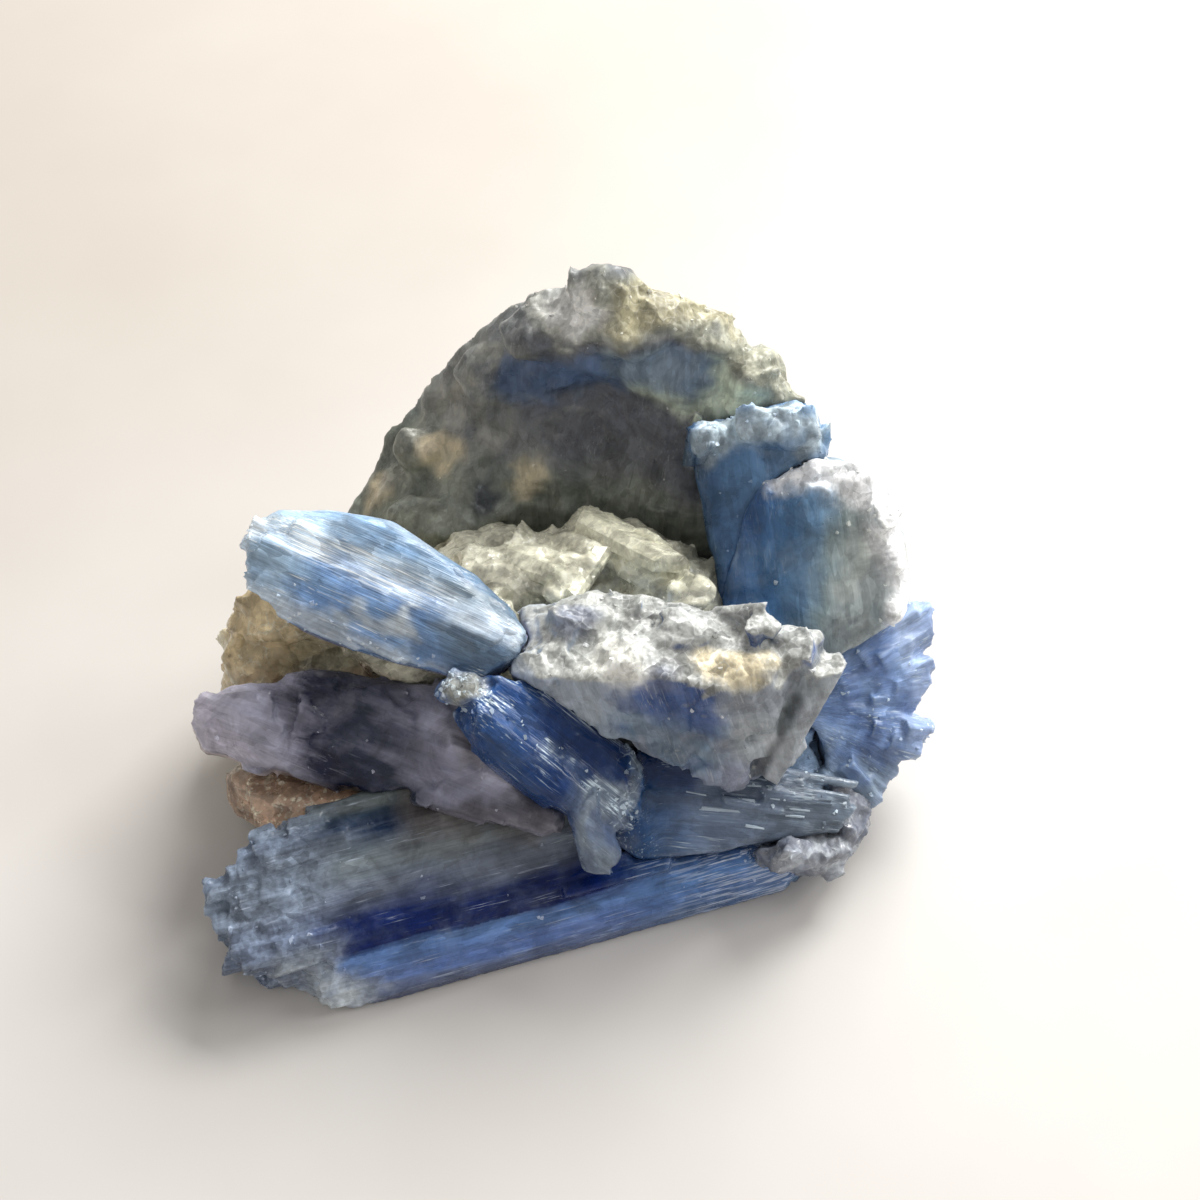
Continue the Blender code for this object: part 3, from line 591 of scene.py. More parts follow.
def shade(code):
    """A linear colour from a hex code."""
    parts = [int(code[i:i + 2], 16) / 255 for i in (0, 2, 4)]
    return tuple(c / 12.92 if c <= 0.04045 else ((c + 0.055) / 1.055) ** 2.4 for c in parts) + (1.0,)


def tone(code):
    """The base colour that looks like the code in the cluster's light, where gloss adds some white."""
    return tuple(min(PALEST, max(DARKEST, LIFT * (c - SHEEN))) for c in shade(code)[:3]) + (1.0,)


class Graph:
    """A material's node tree, built one socket at a time."""

    def __init__(self, name):
        self.material = bpy.data.materials.new(name)
        self.material.use_nodes = True
        self.tree = self.material.node_tree
        self.shader = self.tree.nodes["Principled BSDF"]

    def node(self, kind, inputs=(), **settings):
        """A new node with these settings, and values or other outputs joined to its inputs."""
        made = self.tree.nodes.new(kind)
        for key, value in settings.items():
            setattr(made, key, value)
        for key, value in dict(inputs).items():
            self.join(made.inputs[key], value)
        return made

    def join(self, socket, value):
        if isinstance(value, bpy.types.NodeSocket):
            self.tree.links.new(value, socket)
        else:
            socket.default_value = value

    def attribute(self, name, output="Fac"):
        return self.node("ShaderNodeAttribute", attribute_name=name).outputs[output]

    def stretched(self, vector, scale, shift=(0.0, 0.0, 0.0)):
        """The places times SCALE, which is one number or one for each axis."""
        scale = scale if isinstance(scale, tuple) else (scale,) * 3
        inputs = {"Vector": vector, "Scale": scale, "Location": shift}
        return self.node("ShaderNodeMapping", inputs).outputs["Vector"]

    def grained(self, grain, long, wide, shift=(0.0, 0.0, 0.0)):
        """The grain's places, in units of LONG millimetres along it and WIDE across it."""
        return self.stretched(grain, (1 / long, 1 / wide, 1 / wide), shift)

    def noise(self, vector, detail=2.0, roughness=0.5, distortion=0.0, scale=1.0, output="Fac"):
        inputs = {"Vector": vector, "Scale": scale, "Detail": detail, "Roughness": roughness,
                  "Distortion": distortion}
        return self.node("ShaderNodeTexNoise", inputs).outputs[output]

    def cells(self, vector, feature="F1", output="Distance"):
        inputs = {"Vector": vector, "Scale": 1.0}
        return self.node("ShaderNodeTexVoronoi", inputs, feature=feature).outputs[output]

    def math(self, operation, a, b):
        return self.node("ShaderNodeMath", {0: a, 1: b}, operation=operation).outputs[0]

    def times(self, a, b):
        return self.math("MULTIPLY", a, b)

    def vector_math(self, operation, inputs):
        return self.node("ShaderNodeVectorMath", inputs, operation=operation).outputs["Vector"]

    def span(self, value, low, high, to_low=0.0, to_high=1.0):
        """TO_LOW where the value is LOW, TO_HIGH where it is HIGH, and smooth between them."""
        inputs = {"Value": value, "From Min": low, "From Max": high, "To Min": to_low,
                  "To Max": to_high}
        made = self.node("ShaderNodeMapRange", inputs, interpolation_type="SMOOTHSTEP")
        return made.outputs["Result"]

    def ramp(self, value, stops):
        """The value's colour, between (place, colour) stops."""
        made = self.node("ShaderNodeValToRGB", {"Fac": value})
        points = made.color_ramp.elements
        while len(points) < len(stops):
            points.new(0.5)
        for point, (place, colour) in zip(points, stops):
            point.position = place
            point.color = colour
        return made.outputs["Color"]

    def blend(self, amount, a, b, kind="MIX"):
        inputs = {0: amount, 6: a, 7: b}
        return self.node("ShaderNodeMix", inputs, data_type="RGBA", blend_type=kind).outputs[2]

    def shaded(self, colour, by):
        """The colour times a number or times another colour."""
        return self.blend(1.0, colour, by, "MULTIPLY")

    def bump(self, height, depth_m, strength, normal):
        inputs = {"Height": height, "Distance": depth_m, "Strength": strength, "Normal": normal}
        return self.node("ShaderNodeBump", inputs).outputs["Normal"]

    def flakes(self, vector, amount):
        """The surface's normal, tipped another way in each small cell, so that some cells glint."""
        each = self.cells(vector, "F1", "Color")
        away = self.vector_math("SUBTRACT", {0: each, 1: (0.5, 0.5, 0.5)})
        tip = self.vector_math("SCALE", {0: away, "Scale": amount})
        normal = self.node("ShaderNodeNewGeometry").outputs["Normal"]
        return self.vector_math("NORMALIZE", {0: self.vector_math("ADD", {0: tip, 1: normal})})

    def bent(self, vector, by):
        """The places, pushed about by noise, in cells of one unit."""
        push = self.noise(vector, 0.0, scale=1.3, output="Color")
        return self.vector_math("ADD", {0: vector, 1: self.vector_math("SCALE", {0: push, "Scale": by})})

    def mosaic(self, colour, vector, contrast, pale=None, lines=0.0, where=1.0):
        """The colour, a little lighter or darker in each small angular cell, with bright lines
        between some of the cells. LINES is how bright they are and WHERE picks them."""
        each = self.span(self.cells(vector, "F1", "Color"), 0.2, 0.8, 1 - contrast, 1 + contrast)
        colour = self.shaded(colour, each)
        if lines < 0.1:
            return colour
        gap = self.cells(vector, "DISTANCE_TO_EDGE")
        line = self.times(self.span(gap, 0.0, 0.07, 1.0, 0.0), where)
        return self.blend(self.times(line, lines), colour, pale)

    def tinted(self, colour, tints, broken_by):
        """The colour under its (mask, code, share) tints, each with an edge that a value breaks."""
        for mask, code, share in tints:
            broken = self.span(self.math("ADD", self.attribute(mask), broken_by), 0.05, 0.95)
            colour = self.blend(self.times(broken, share), colour, tone(code))
        return colour

    def finish(self, **sockets):
        """Sets the shader's sockets, whose names have _ for each space."""
        for name, value in sockets.items():
            self.join(self.shader.inputs[name.replace("_", " ")], value)
        return self.material


def kyanite(name, stops, cloud, cloud_share, pale, tints, streaks=0.5, rough=0.28, glow=0.35,
            spread=0.2, edge_share=0.55, crumbs=None, silk=None, lines=0.10, mottle=0.24,
            gloss_level=0.25, lace=0.3):
    """Kyanite: colour zones that follow the grain, milky clouds and fine striae, with painted glints in
    short pale streaks along the grain, painted highlight on sharp edges and painted shade in grooves.
    STOPS colour the zone value; TINTS are (mask, code, share) laid over them; CRUMBS names the mask
    where the surface is sugary and SILK the one where bright lines of sheen are painted along the
    grain; LINES and MOTTLE are how far the striae and the cloudiness darken and lighten it, and LACE
    how bright the lines are between the grains of the crumbs. Every colour is the code of how it
    should look. Noise over the body is scaled per metre."""
    g = Graph(name)
    grain = g.attribute("grain", "Vector")
    body = g.node("ShaderNodeTexCoord").outputs["Object"]
    pale = tone(pale)
    wander = g.noise(g.grained(grain, 16, 2.6), 4.0, 0.55, 0.4)
    wander = g.times(g.math("SUBTRACT", wander, 0.5), spread)
    value = g.math("ADD", g.attribute("zone"), wander)
    colour = g.ramp(value, [(place, tone(code)) for place, code in stops])

    veil = g.noise(g.stretched(body, 190.0), 5.0, 0.6, 0.6)
    small_veil = g.noise(g.stretched(body, 620.0), 3.0, 0.6, 0.3)
    veil = g.math("ADD", g.times(veil, 0.7), g.times(small_veil, 0.3))
    colour = g.blend(g.times(g.span(veil, 0.42, 0.66), cloud_share), colour, tone(cloud))
    colour = g.tinted(colour, tints, g.times(g.math("SUBTRACT", veil, 0.5), 0.9))

    striae = g.noise(g.grained(grain, 7, 0.38), 2.0, 0.6)
    hair = g.noise(g.grained(grain, 5, 0.13), 1.0, 0.5)
    lined = g.span(striae, 0.3, 0.7, 1 - 1.2 * lines, 1 + lines)
    lined = g.times(lined, g.span(hair, 0.3, 0.7, 1 - 0.4 * lines, 1 + 0.4 * lines))
    colour = g.shaded(colour, lined)

    patch = g.noise(g.grained(grain, 5, 2.2, (3.1, 1.7, 0.4)), 2.0)
    fog = g.noise(g.stretched(body, 230.0, (0.3, 0.7, 0.1)), 5.0, 0.66, 0.9)
    colour = g.shaded(colour, g.span(fog, 0.3, 0.7, 1 - mottle, 1 + mottle))

    thin = g.noise(g.grained(grain, 4.5, 0.2, (5.1, 0.7, 2.4)), 2.0, 0.65)
    # Painted glints: short pale streaks along the grain, where both the thin and the patch noise are high.
    bright = g.times(g.span(thin, 0.56, 0.70), g.span(patch, 0.48, 0.66))
    colour = g.blend(g.times(bright, streaks), colour, pale)
    # Painted sheen: bright lines along the grain inside the silk mask.
    if silk:
        sheen_lines = g.times(g.span(thin, 0.46, 0.66), g.attribute(silk))
        colour = g.blend(g.times(sheen_lines, 0.85), colour, pale)
    splinters = g.bent(g.grained(grain, 2.6, 0.75), 0.5)
    each = g.span(g.cells(splinters, "F1", "Color"), 0.2, 0.8, 0.90, 1.10)
    colour = g.shaded(colour, each)
    # Painted highlight: sharp edges, and small crystals with a painted glint, turn paler.
    edge_highlight = g.times(g.span(g.attribute("edge"), 0.06, 0.55), edge_share)
    colour = g.blend(edge_highlight, colour, pale)
    # Painted shade: places that lie in a groove turn darker.
    groove_shade = g.span(g.attribute("edge"), -0.15, -0.8, 1.0, 0.62)
    colour = g.shaded(colour, groove_shade)

    height = g.math("ADD", g.times(striae, 0.7), g.times(hair, 0.3))
    normal = g.bump(height, 0.0010 * lines, 0.8, g.flakes(splinters, 0.25))
    if crumbs:
        sugar = g.bent(g.stretched(body, 800.0), 0.4)
        fine_sugar = g.stretched(body, 2100.0)
        crust = g.mosaic(colour, sugar, 0.13, pale, lace, g.span(small_veil, 0.42, 0.56))
        crust = g.mosaic(crust, fine_sugar, 0.14)
        colour = g.blend(g.attribute(crumbs), colour, crust)
        facing = g.bump(g.noise(fine_sugar, 0.0), 0.00016, 0.6, g.flakes(sugar, 0.35))
        normal = g.blend(g.attribute(crumbs), normal, facing)
    gloss = g.math("ADD", g.span(small_veil, 0.35, 0.65, -0.08, 0.12), rough)
    g.shader.subsurface_method = "BURLEY"
    colour = g.shaded(colour, g.span(g.attribute("bit"), -0.5, 0.5, 0.88, 1.12))
    return g.finish(Base_Color=colour, Roughness=gloss, Normal=normal, Subsurface_Weight=0.6 * glow,
                    Subsurface_Radius=(0.8, 0.9, 1.0), Subsurface_Scale=0.0016, IOR=1.6,
                    Specular_IOR_Level=gloss_level)


SMOOTH = {"streaks": 0.15, "rough": 0.3, "lines": 0.05, "glow": 0.6, "mottle": 0.3}


def quartz(name, dark, mid, light, tints):
    """Broken quartz: glassy, with white veils inside and stains laid over it. DARK, MID and LIGHT
    are the codes of the veils' colours and TINTS are as for kyanite."""
    clear, rough = 0.35, 0.14
    g = Graph(name)
    light = tone(light)
    body = g.node("ShaderNodeTexCoord").outputs["Object"]
    veil = g.noise(g.stretched(body, 170.0), 5.0, 0.62, 1.2)
    flecks = g.noise(g.stretched(body, 700.0), 3.0, 0.6, 0.5)
    planes = g.cells(g.stretched(body, 330.0), "F1", "Color")
    value = g.math("ADD", g.times(veil, 0.75), g.times(flecks, 0.35))
    value = g.math("ADD", value, g.times(planes, 0.12))
    colour = g.ramp(value, ((0.42, tone(dark)), (0.58, tone(mid)), (0.76, light)))
    colour = g.tinted(colour, tints, g.math("SUBTRACT", veil, 0.5))
    # Painted highlight: sharp edges, and small crystals with a painted glint, turn paler.
    edge_highlight = g.times(g.span(g.attribute("edge"), 0.1, 0.7), 0.5)
    colour = g.blend(edge_highlight, colour, light)
    # Painted shade: places that lie in a groove turn darker.
    groove_shade = g.span(g.attribute("edge"), -0.15, -0.8, 1.0, 0.6)
    colour = g.shaded(colour, groove_shade)
    fog = g.noise(g.stretched(body, 300.0, (0.3, 0.7, 0.1)), 5.0, 0.66, 0.9)
    colour = g.shaded(colour, g.span(fog, 0.3, 0.7, 0.72, 1.26))
    chunks = g.bent(g.stretched(body, 520.0), 0.5)
    small_chunks = g.bent(g.stretched(body, 1500.0), 0.4)
    colour = g.mosaic(colour, chunks, 0.14, light, 0.5, g.span(flecks, 0.46, 0.58))
    colour = g.mosaic(colour, small_chunks, 0.14)
    grit = g.noise(g.stretched(body, 1500.0), 0.0)
    normal = g.bump(grit, 0.0002, 0.6, g.flakes(chunks, 0.45))
    gloss = g.span(flecks, 0.35, 0.7, rough - 0.06, rough + 0.2)
    glassy = g.span(veil, 0.62, 0.4, 0.25 * clear, clear)
    colour = g.shaded(colour, g.span(g.attribute("bit"), -0.5, 0.5, 0.85, 1.15))
    g.shader.subsurface_method = "BURLEY"
    return g.finish(Base_Color=colour, Roughness=gloss, Normal=normal, Transmission_Weight=glassy,
                    Subsurface_Weight=0.4, Subsurface_Radius=(1.0, 1.0, 1.0),
                    Subsurface_Scale=0.0022, IOR=1.54)


# ---------------------------------------------------------------- the crystals

def front_blade():
    flat = straight((-3.5, -20.9, 0.0), (0.959, 0.282, 0.0), (0.0, 0.0, 1.0))
    grain = straight((-3.5, -20.9, 0.0), (0.959, 0.282, 0.0), (0.13, -0.46, 0.88))
    steps = kyanite_relief(grain, 0.35, 0.9, 2.2, 10)
    brown_patch = [(-12.0, -15.0, 12.0), (0.0, -12.0, 12.0), (-5.0, -14.0, 12.0)]

    def girth_of(co):
        """How far a place is round the blade, from the foot of its front face to its back edge."""
        _, across, up = flat(co)[0].T
        return np.where(across > -3.2, across, -3.2 - (7.2 - up) * 1.05)

    def at(girth):
        return (girth + 11.5) / 24.0

    def left_end(co, normal=None):
        return ramp_up(flat(co)[0][:, 0] + 2.5 * clouds(co / 3.0, 9), -14.0, -26.0)

    def right_end(co, normal=None):
        return ramp_up(flat(co)[0][:, 0] + 1.5 * clouds(co / 3.0, 8), 25.0, 29.0)

    def sides(co, normal):
        return 0.15 + 0.85 * ramp_up(normal[:, 2], 0.2, 0.7)

    def masks(co, loose, normal):
        place = flat(co)[0]
        wobble = 0.8 * clouds(squeezed(place, 14, 3, 3), 5)
        return {
            "zone": np.clip(at(girth_of(co) + wobble + 0.02 * place[:, 0]), 0, 1),
            "chip": left_end(co),
            "low": left_end(co) * ramp_up(place[:, 1], 0.0, -6.0),
            "clear": right_end(co),
            "streaked": ramp_up(place[:, 0], 2.0, 18.0) * ramp_up(girth_of(co), 2.0, -1.0),
            # Painted sheen: bright lines along the grain over the right part of the blade's front.
            "fibres": (ramp_up(place[:, 0] + 3.0 * clouds(co / 4.0, 6), 10.0, 20.0)
                       * ramp_up(girth_of(co), 1.0, -2.0)),
            "patch": near_points(loose, brown_patch, 7.0),
        }

    def relief(co, normal):
        ends = np.maximum(left_end(co), right_end(co))
        breaks = 1.0 * facets(co, 4.6, 14) + 0.25 * facets(co, 2.2, 15) - 0.5
        return steps(co, normal) * (1 - 0.6 * ends) + ends * breaks
    growths = [plates(50, 2.8, 0.10, sides), blocks(90, 3.8, 0.2, left_end),
               blocks(24, 2.4, 0.2, right_end)]
    bits = [shards(70, 0.4, 0.03, sides, 0.8), shards(70, 0.5, 0.03, left_end, 0.6),
            shards(50, 0.7, 0.06, right_end, 0.6)]
    stops = (
        (at(-11.0), "4d5367"), (at(-8.6), "56617d"), (at(-7.0), "536897"),
        (at(-4.6), "516a93"), (at(-3.2), "20294c"), (at(-0.9), "202a4f"),
        (at(1.4), "5d6470"), (at(4.2), "687074"), (at(6.2), "4e5661"),
        (at(7.0), "212c40"), (at(8.2), "2b3541"), (at(9.4), "4f5556"),
    )
    tints = (("streaked", "4a6994", 0.5), ("chip", "6a7483", 0.75), ("low", "c2cad9", 0.7),
             ("patch", "5b5754", 0.8), ("clear", "677e9a", 0.6))
    look = kyanite("front_kyanite", stops, "6f7886", 0.16, "a8b2c2", tints, silk="fibres", glow=0.4,
                   crumbs="chip", gloss_level=0.15, mottle=0.28, lace=0.06)
    crystal("front_blade", relief, kyanite_fine(grain, 0.035, 12, 0.2), masks, look,
            grain, 1000, growths, bits=bits, soft=14)


def upper_left_blade():
    grain = straight((-18.5, 0.1, 29.0), (27.5, -11.5, -4.6), (-0.02, -0.42, 0.90))
    steps = kyanite_relief(grain, 0.07, 0.3, 1.8, 20)

    def rim(co, normal):
        """The blade's rounded left end and the crumbly edge along its lower side."""
        along, across, _ = grain(co)[0].T
        low = ramp_up(across + 0.8 * clouds(co / 3.0, 25), -3.6, -6.0)
        return np.maximum(low, ramp_up(along, -11.5, -14.0)) * ramp_up(normal[:, 2], -0.4, 0.2)

    # The band along the blade's middle, where a sheen is painted.
    def band(co, normal=None):
        _, across, up = grain(co)[0].T
        off_line = np.abs(across - 0.8 + 0.4 * clouds(co / 4.0, 26))
        return ramp_up(off_line, 2.2, 0.7) * ramp_up(up, -1.6, -0.6)

    def top(co, normal):
        return ramp_up(normal[:, 2], 0.4, 0.8)

    def masks(co, loose, normal):
        place = grain(co)[0]
        along, across, up = place.T
        wisps = clouds(squeezed(place, 12, 2.2, 2.2), 21)
        return {
            "zone": np.clip(0.45 + 0.03 * across + 0.42 * wisps, 0, 1),
            "deep": near_line(loose, [(-16.0, -3.5, 27.5), (-12.1, -7.0, 25.0)], 3.0),
            "pale": ramp_up(along + 0.5 * across, 4.0, 11.0),
            "violet": ramp_up(up + 1.0 * clouds(co / 3.0, 27), -1.8, -3.4),
            "cream": near_line(loose, [(-21.4, -2.3, 27.4), (-18.5, -3.0, 27.4), (-16.0, -3.8, 27.2)], 2.2),
            # Paler along the crumbly rim with its own frosted colour, and paler with bright lines along the
            # band of painted sheen.
            "frost": 0.7 * rim(co, normal) + 0.5 * band(co),
            "silk": band(co) * ramp_up(along, 10.0, 3.0),
            "milk": ramp_up(along + 1.5 * clouds(co / 3.0, 29), -3.0, -11.0),
        }

    def relief(co, normal):
        return steps(co, normal) + 0.35 * clouds(squeezed(grain(co)[0], 12, 4, 4), 28)
    stops = ((0.05, "50698b"), (0.3, "5e789d"), (0.6, "667e98"), (0.9, "74828f"))
    tints = (("milk", "92a8ba", 0.7), ("deep", "4d607c", 0.6), ("pale", "464f53", 0.6),
             ("violet", "666680", 0.85), ("cream", "b4b8b4", 0.6), ("frost", "b5bec5", 0.85))
    look = kyanite("silky_kyanite", stops, "85929c", 0.35, "c5ccd4", tints, streaks=0.7,
                   silk="silk", lines=0.14, rough=0.24, spread=0.5)
    growths = [plates(10, 3.0, 0.05, top), blocks(60, 1.6, 0.16, rim)]
    crystal("upper_left_blade", relief, kyanite_fine(grain, 0.03, 22), masks, look,
            grain, 1100, growths, bits=[shards(50, 0.45, 0.03, rim, 0.5)], soft=60)


def lower_left_blade():
    grain = straight((-22.5, -8.9, 17.0), (36.0, -13.5, -4.2), (0.02, -0.32, 0.95))
    steps = kyanite_relief(grain, 0.1, 0.4, 3.4, 30)

    def broken(co, normal=None):
        return ramp_up(grain(co)[0][:, 0] + 2.0 * clouds(co / 3.0, 35), 8.0, 13.0)

    def masks(co, loose, normal):
        place = grain(co)[0]
        wobble = 3.0 * clouds(squeezed(place, 7, 4, 4), 31)
        return {
            "zone": np.clip((place[:, 0] + 0.8 * place[:, 1] + wobble + 17.0) / 42.0, 0, 1),
            "pale": near_line(loose, [(-12.0, -9.0, 17.0), (-4.0, -15.0, 14.0)], 3.4),
            "brown": near_points(loose, [(-9.0, -10.0, 15.0), (-3.0, -13.0, 13.0)], 5.0),
            "deep": near_line(loose, [(-12.0, -17.5, 12.5), (-2.7, -18.4, 12.4)], 4.0),
            "under": ramp_up(place[:, 2] + clouds(co / 3.0, 33), -2.0, -4.0),
        }

    def relief(co, normal):
        return steps(co, normal) + 0.5 * clouds(co / 5.0, 36) + 0.7 * facets(co, 6.0, 37)
    stops = ((0.02, "8f8b95"), (0.15, "9393a2"), (0.32, "252735"), (0.50, "323642"),
             (0.64, "7d7e8e"), (0.9, "9495a4"))
    tints = (("pale", "9798a7", 0.7), ("brown", "645b56", 0.6), ("deep", "49474b", 0.8),
             ("under", "a1938b", 0.6))
    look = kyanite("cloudy_kyanite", stops, "81818d", 0.25, "a5a7b4", tints, streaks=0.15,
                   mottle=0.34, spread=0.35, lines=0.07, glow=0.5)
    growths = [plates(10, 3.4, 0.05, anywhere), blocks(30, 2.8, 0.2, broken)]
    crystal("lower_left_blade", relief, kyanite_fine(grain, 0.02, 32), masks, look,
            grain, 1200, growths, bits=[shards(60, 0.4, 0.03, anywhere, 0.6)], soft=14)


def middle_blade():
    steep = straight((-0.5, -12.4, 20.4), (11.3, -5.2, -9.0), (0.45, -0.45, 0.77))
    level = straight((14.5, -13.9, 11.2), (22.0, -1.0, -2.8), (0.1, -0.35, 0.93))
    grain = bent(steep, level, 5.0, 10.0)
    step = [(6.6, -11.6, 16.4), (6.4, -14.6, 14.8), (5.6, -17.6, 13.4)]
    far_end = [(17.0, -13.0, 11.4), (28.0, -14.0, 9.0)]
    top_edge = [(-5.6, -7.8, 25.6), (-0.6, -9.8, 22.0), (6.4, -11.2, 16.6)]
    prism = [(1.8, -17.8, 15.6), (2.8, -21.6, 11.0)]
    joint = [(-10.0, -9.6, 24.8)]
    clear_corner = [(2.4, -16.0, 16.0), (4.5, -16.4, 14.8)]

    # Where glints are painted: a band low on the blade and a line along its top edge.
    def glints(co, normal):
        off_line = np.abs(grain(co)[0][:, 1] + 1.6 + 0.6 * clouds(co / 3.0, 47))
        low = ramp_up(off_line, 1.6, 0.4) * ramp_up(co[:, 0], 8.0, 5.0)
        return np.maximum(low, 0.9 * near_line(co, top_edge, 0.7)) * ramp_up(normal[:, 2], 0.0, 0.4)

    def crumbs(co, normal):
        return np.maximum(near_line(co, step, 2.0), near_points(co, joint, 3.0))

    def laths_right(co, normal):
        return near_line(co, far_end, 4.0) * ramp_up(normal[:, 2], 0.0, 0.4)

    def masks(co, loose, normal):
        return {
            "zone": np.clip((loose[:, 0] + 8.0) / 36.0, 0, 1),
            "side": (ramp_up(grain(loose)[0][:, 1], -1.8, -3.2)
                     * ramp_up(loose[:, 0], -4.0, 4.0) * ramp_up(loose[:, 0], 9.0, 6.0)),
            "navy": near_line(loose, [(3.8, -10.8, 18.0), (7.3, -10.5, 13.3), (11.3, -12.5, 11.8)], 2.6),
            "cream": near_points(loose, joint, 3.0),
            "clear": np.maximum.reduce([near_line(loose, prism, 2.4), near_points(loose, joint, 3.6),
                                        near_points(loose, clear_corner, 2.6),
                                        0.8 * near_line(loose, step, 1.8)]),
            "crumb": crumbs(co, normal),
            # Painted glints and sheen: bright lines in the glint band, along the top edge and over the
            # laths at the right, and a paler blue over the glint band.
            "silk": np.maximum(1.3 * glints(loose, normal) * ramp_up(clouds(co / 2.0, 48), -0.1, 0.2),
                               near_line(co, top_edge, 0.8))
                    + 0.4 * laths_right(co, normal) * ramp_up(clouds(co / 1.5, 49), 0.0, 0.3),
            "frost": 0.6 * glints(loose, normal) + 0.1 * laths_right(co, normal),
        }
    growths = [plates(30, 2.2, 0.12, anywhere), plates(20, 2.0, 0.5, laths_right)]
    # The small crystals in the glint band and on the laths are painted pale as glints.
    bits = [shards(90, 0.4, 0.0, glints, 1.0), shards(60, 0.6, 0.03, crumbs, 0.8),
            slivers(24, 1.2, laths_right), shards(50, 0.4, 0.02, laths_right, 0.8)]
    bars = [Bar((1.6, -17.0, 16.4), (3.2, -22.0, 10.4), 3.3, 2.0, (0.5, -0.4, 0.75)),
            Bar((17.0, -12.6, 12.2), (28.6, -13.6, 9.6), 1.3, 0.8, (0.0, -0.3, 0.95)),
            Bar((15.6, -14.6, 11.6), (26.4, -15.4, 8.6), 1.0, 0.8, (0.0, -0.4, 0.9)),
            Bar((18.5, -11.2, 12.4), (29.6, -11.8, 9.4), 1.1, 0.7, (0.0, -0.2, 0.95)),
            Bar((19.5, -13.6, 11.6), (29.0, -14.6, 9.0), 1.6, 0.9, (0.0, -0.5, 0.85))]
    stops = ((0.05, "2d4268"), (0.16, "203257"), (0.36, "1f2f4e"), (0.44, "304768"),
             (0.56, "5b687d"), (0.9, "5a636e"))
    tints = (("side", "5b677c", 0.65), ("navy", "1f2f50", 0.8), ("clear", "6c757d", 0.8),
             ("cream", "7f7c6d", 0.8), ("frost", "6d82a2", 0.15))
    look = kyanite("deep_kyanite", stops, "525e6f", 0.15, "b4c1cf", tints, streaks=0.45,
                   rough=0.2, crumbs="crumb", silk="silk", spread=0.25)
    crystal("middle_blade", kyanite_relief(grain, 0.3, 0.6, 2.0, 40),
            kyanite_fine(grain, 0.06, 42), masks, look, grain, 1300, growths, bars, bits, soft=5)


def centre_block():
    grain = straight((10.0, -8.0, 26.0), (0.3, -0.2, -1.0), (0.05, -1.0, 0.3))
    blade = kyanite_relief(grain, 0.1, 0.2, 3.2, 54)
    violet_patch = [(9.0, -9.9, 24.4), (13.6, -10.8, 24.2), (17.0, -10.4, 25.0)]
    groove = [(22.4, -9.2, 22.2), (20.5, -10.9, 18.0), (18.7, -12.8, 14.4)]

    def top_of(co, normal, low=22.0):
        """The sugary top, which spreads down the faces to a height that starts at LOW."""
        flat = normal[:, 2] + 0.3 * clouds(co / 2.2, 51)
        return ramp_up(flat + 0.5 * ramp_up(co[:, 2], low, low + 4.0), 0.6, 1.25)

    def face_of(co, normal):
        return 1 - top_of(co, normal)

    def masks(co, loose, normal):
        return {
            "zone": np.clip(0.4 + 0.03 * (18.0 - co[:, 2]) + 0.4 * clouds(co / 4.0, 52), 0, 1),
            "sugar": top_of(co, normal, 23.2) * ramp_up(loose[:, 0], 30.0, 26.0),
            "left": ramp_up(loose[:, 0], 9.0, 1.0),
            "violet": near_points(loose, violet_patch, 5.4),
            # Painted shade: a dark line in the groove beside the plate.
            "groove": near_line(co, groove, 1.4),
            "grey": ramp_up(loose[:, 2] - 0.5 * loose[:, 0], 12.0, 6.0),
            "blue": near_points(loose, [(0.4, -2.8, 26.5), (9.0, -9.0, 26.0)], 3.0),
            "cream": near_line(loose, [(3.7, -6.9, 26.7), (5.6, -8.2, 27.0)], 3.2),
            "yellow": near_line(loose, [(14.2, -8.0, 26.8), (18.0, -9.2, 27.2)], 2.8),
            "plate": (ramp_up(loose[:, 0] + 0.45 * (loose[:, 2] - 14.0), 17.5, 21.5)
                      * ramp_up(co[:, 2], 27.5, 25.5)),
        }

    def relief(co, normal):
        top = ramp_up(normal[:, 2], 0.3, 0.8)
        sugar = 0.22 * clouds(co / 3.0, 58) + 0.2 * facets(co, 2.6, 53)
        return sugar * (0.5 + 0.5 * top) + blade(co, normal) * (1 - top) + 0.6 * facets(co, 6.0, 59)
    stops = ((0.1, "3b4c70"), (0.4, "657483"), (0.7, "82848c"), (0.95, "898e95"))
    tints = (("violet", "3c4d75", 0.85), ("grey", "737788", 0.6), ("plate", "85898b", 0.8),
             ("groove", "3f4344", 0.75), ("left", "a4aaad", 0.6), ("sugar", "90918c", 0.9),
             ("blue", "656c81", 0.6), ("cream", "e4ddc2", 0.95), ("yellow", "c6bca1", 1.0))
    look = kyanite("block_kyanite", stops, "777d8e", 0.3, "b4b7b8", tints, streaks=0.3, rough=0.26,
                   spread=0.4, crumbs="sugar", lines=0.06, gloss_level=0.2, edge_share=0.75,
                   lace=0.35, mottle=0.3)
    growths = [shards(10, 3.4, 0.03, top_of), blocks(26, 4.4, 0.2, face_of)]
    bits = [shards(24, 0.5, 0.0, top_of, 0.8), shards(40, 0.4, 0.03, face_of, 0.6)]
    bars = [Bar((15.0, -2.6, 26.2), (19.0, -3.4, 28.4), 2.6, 1.2, (0.0, -0.7, 0.7)),
            Bar((25.0, -7.2, 25.4), (20.0, -12.4, 13.0), 3.8, 3.0, (0.3, -0.85, 0.4))]
    crystal("centre_block", relief, quartz_fine(0.04, 57), masks, look, grain, 1400,
            growths, bars, bits, soft=8)


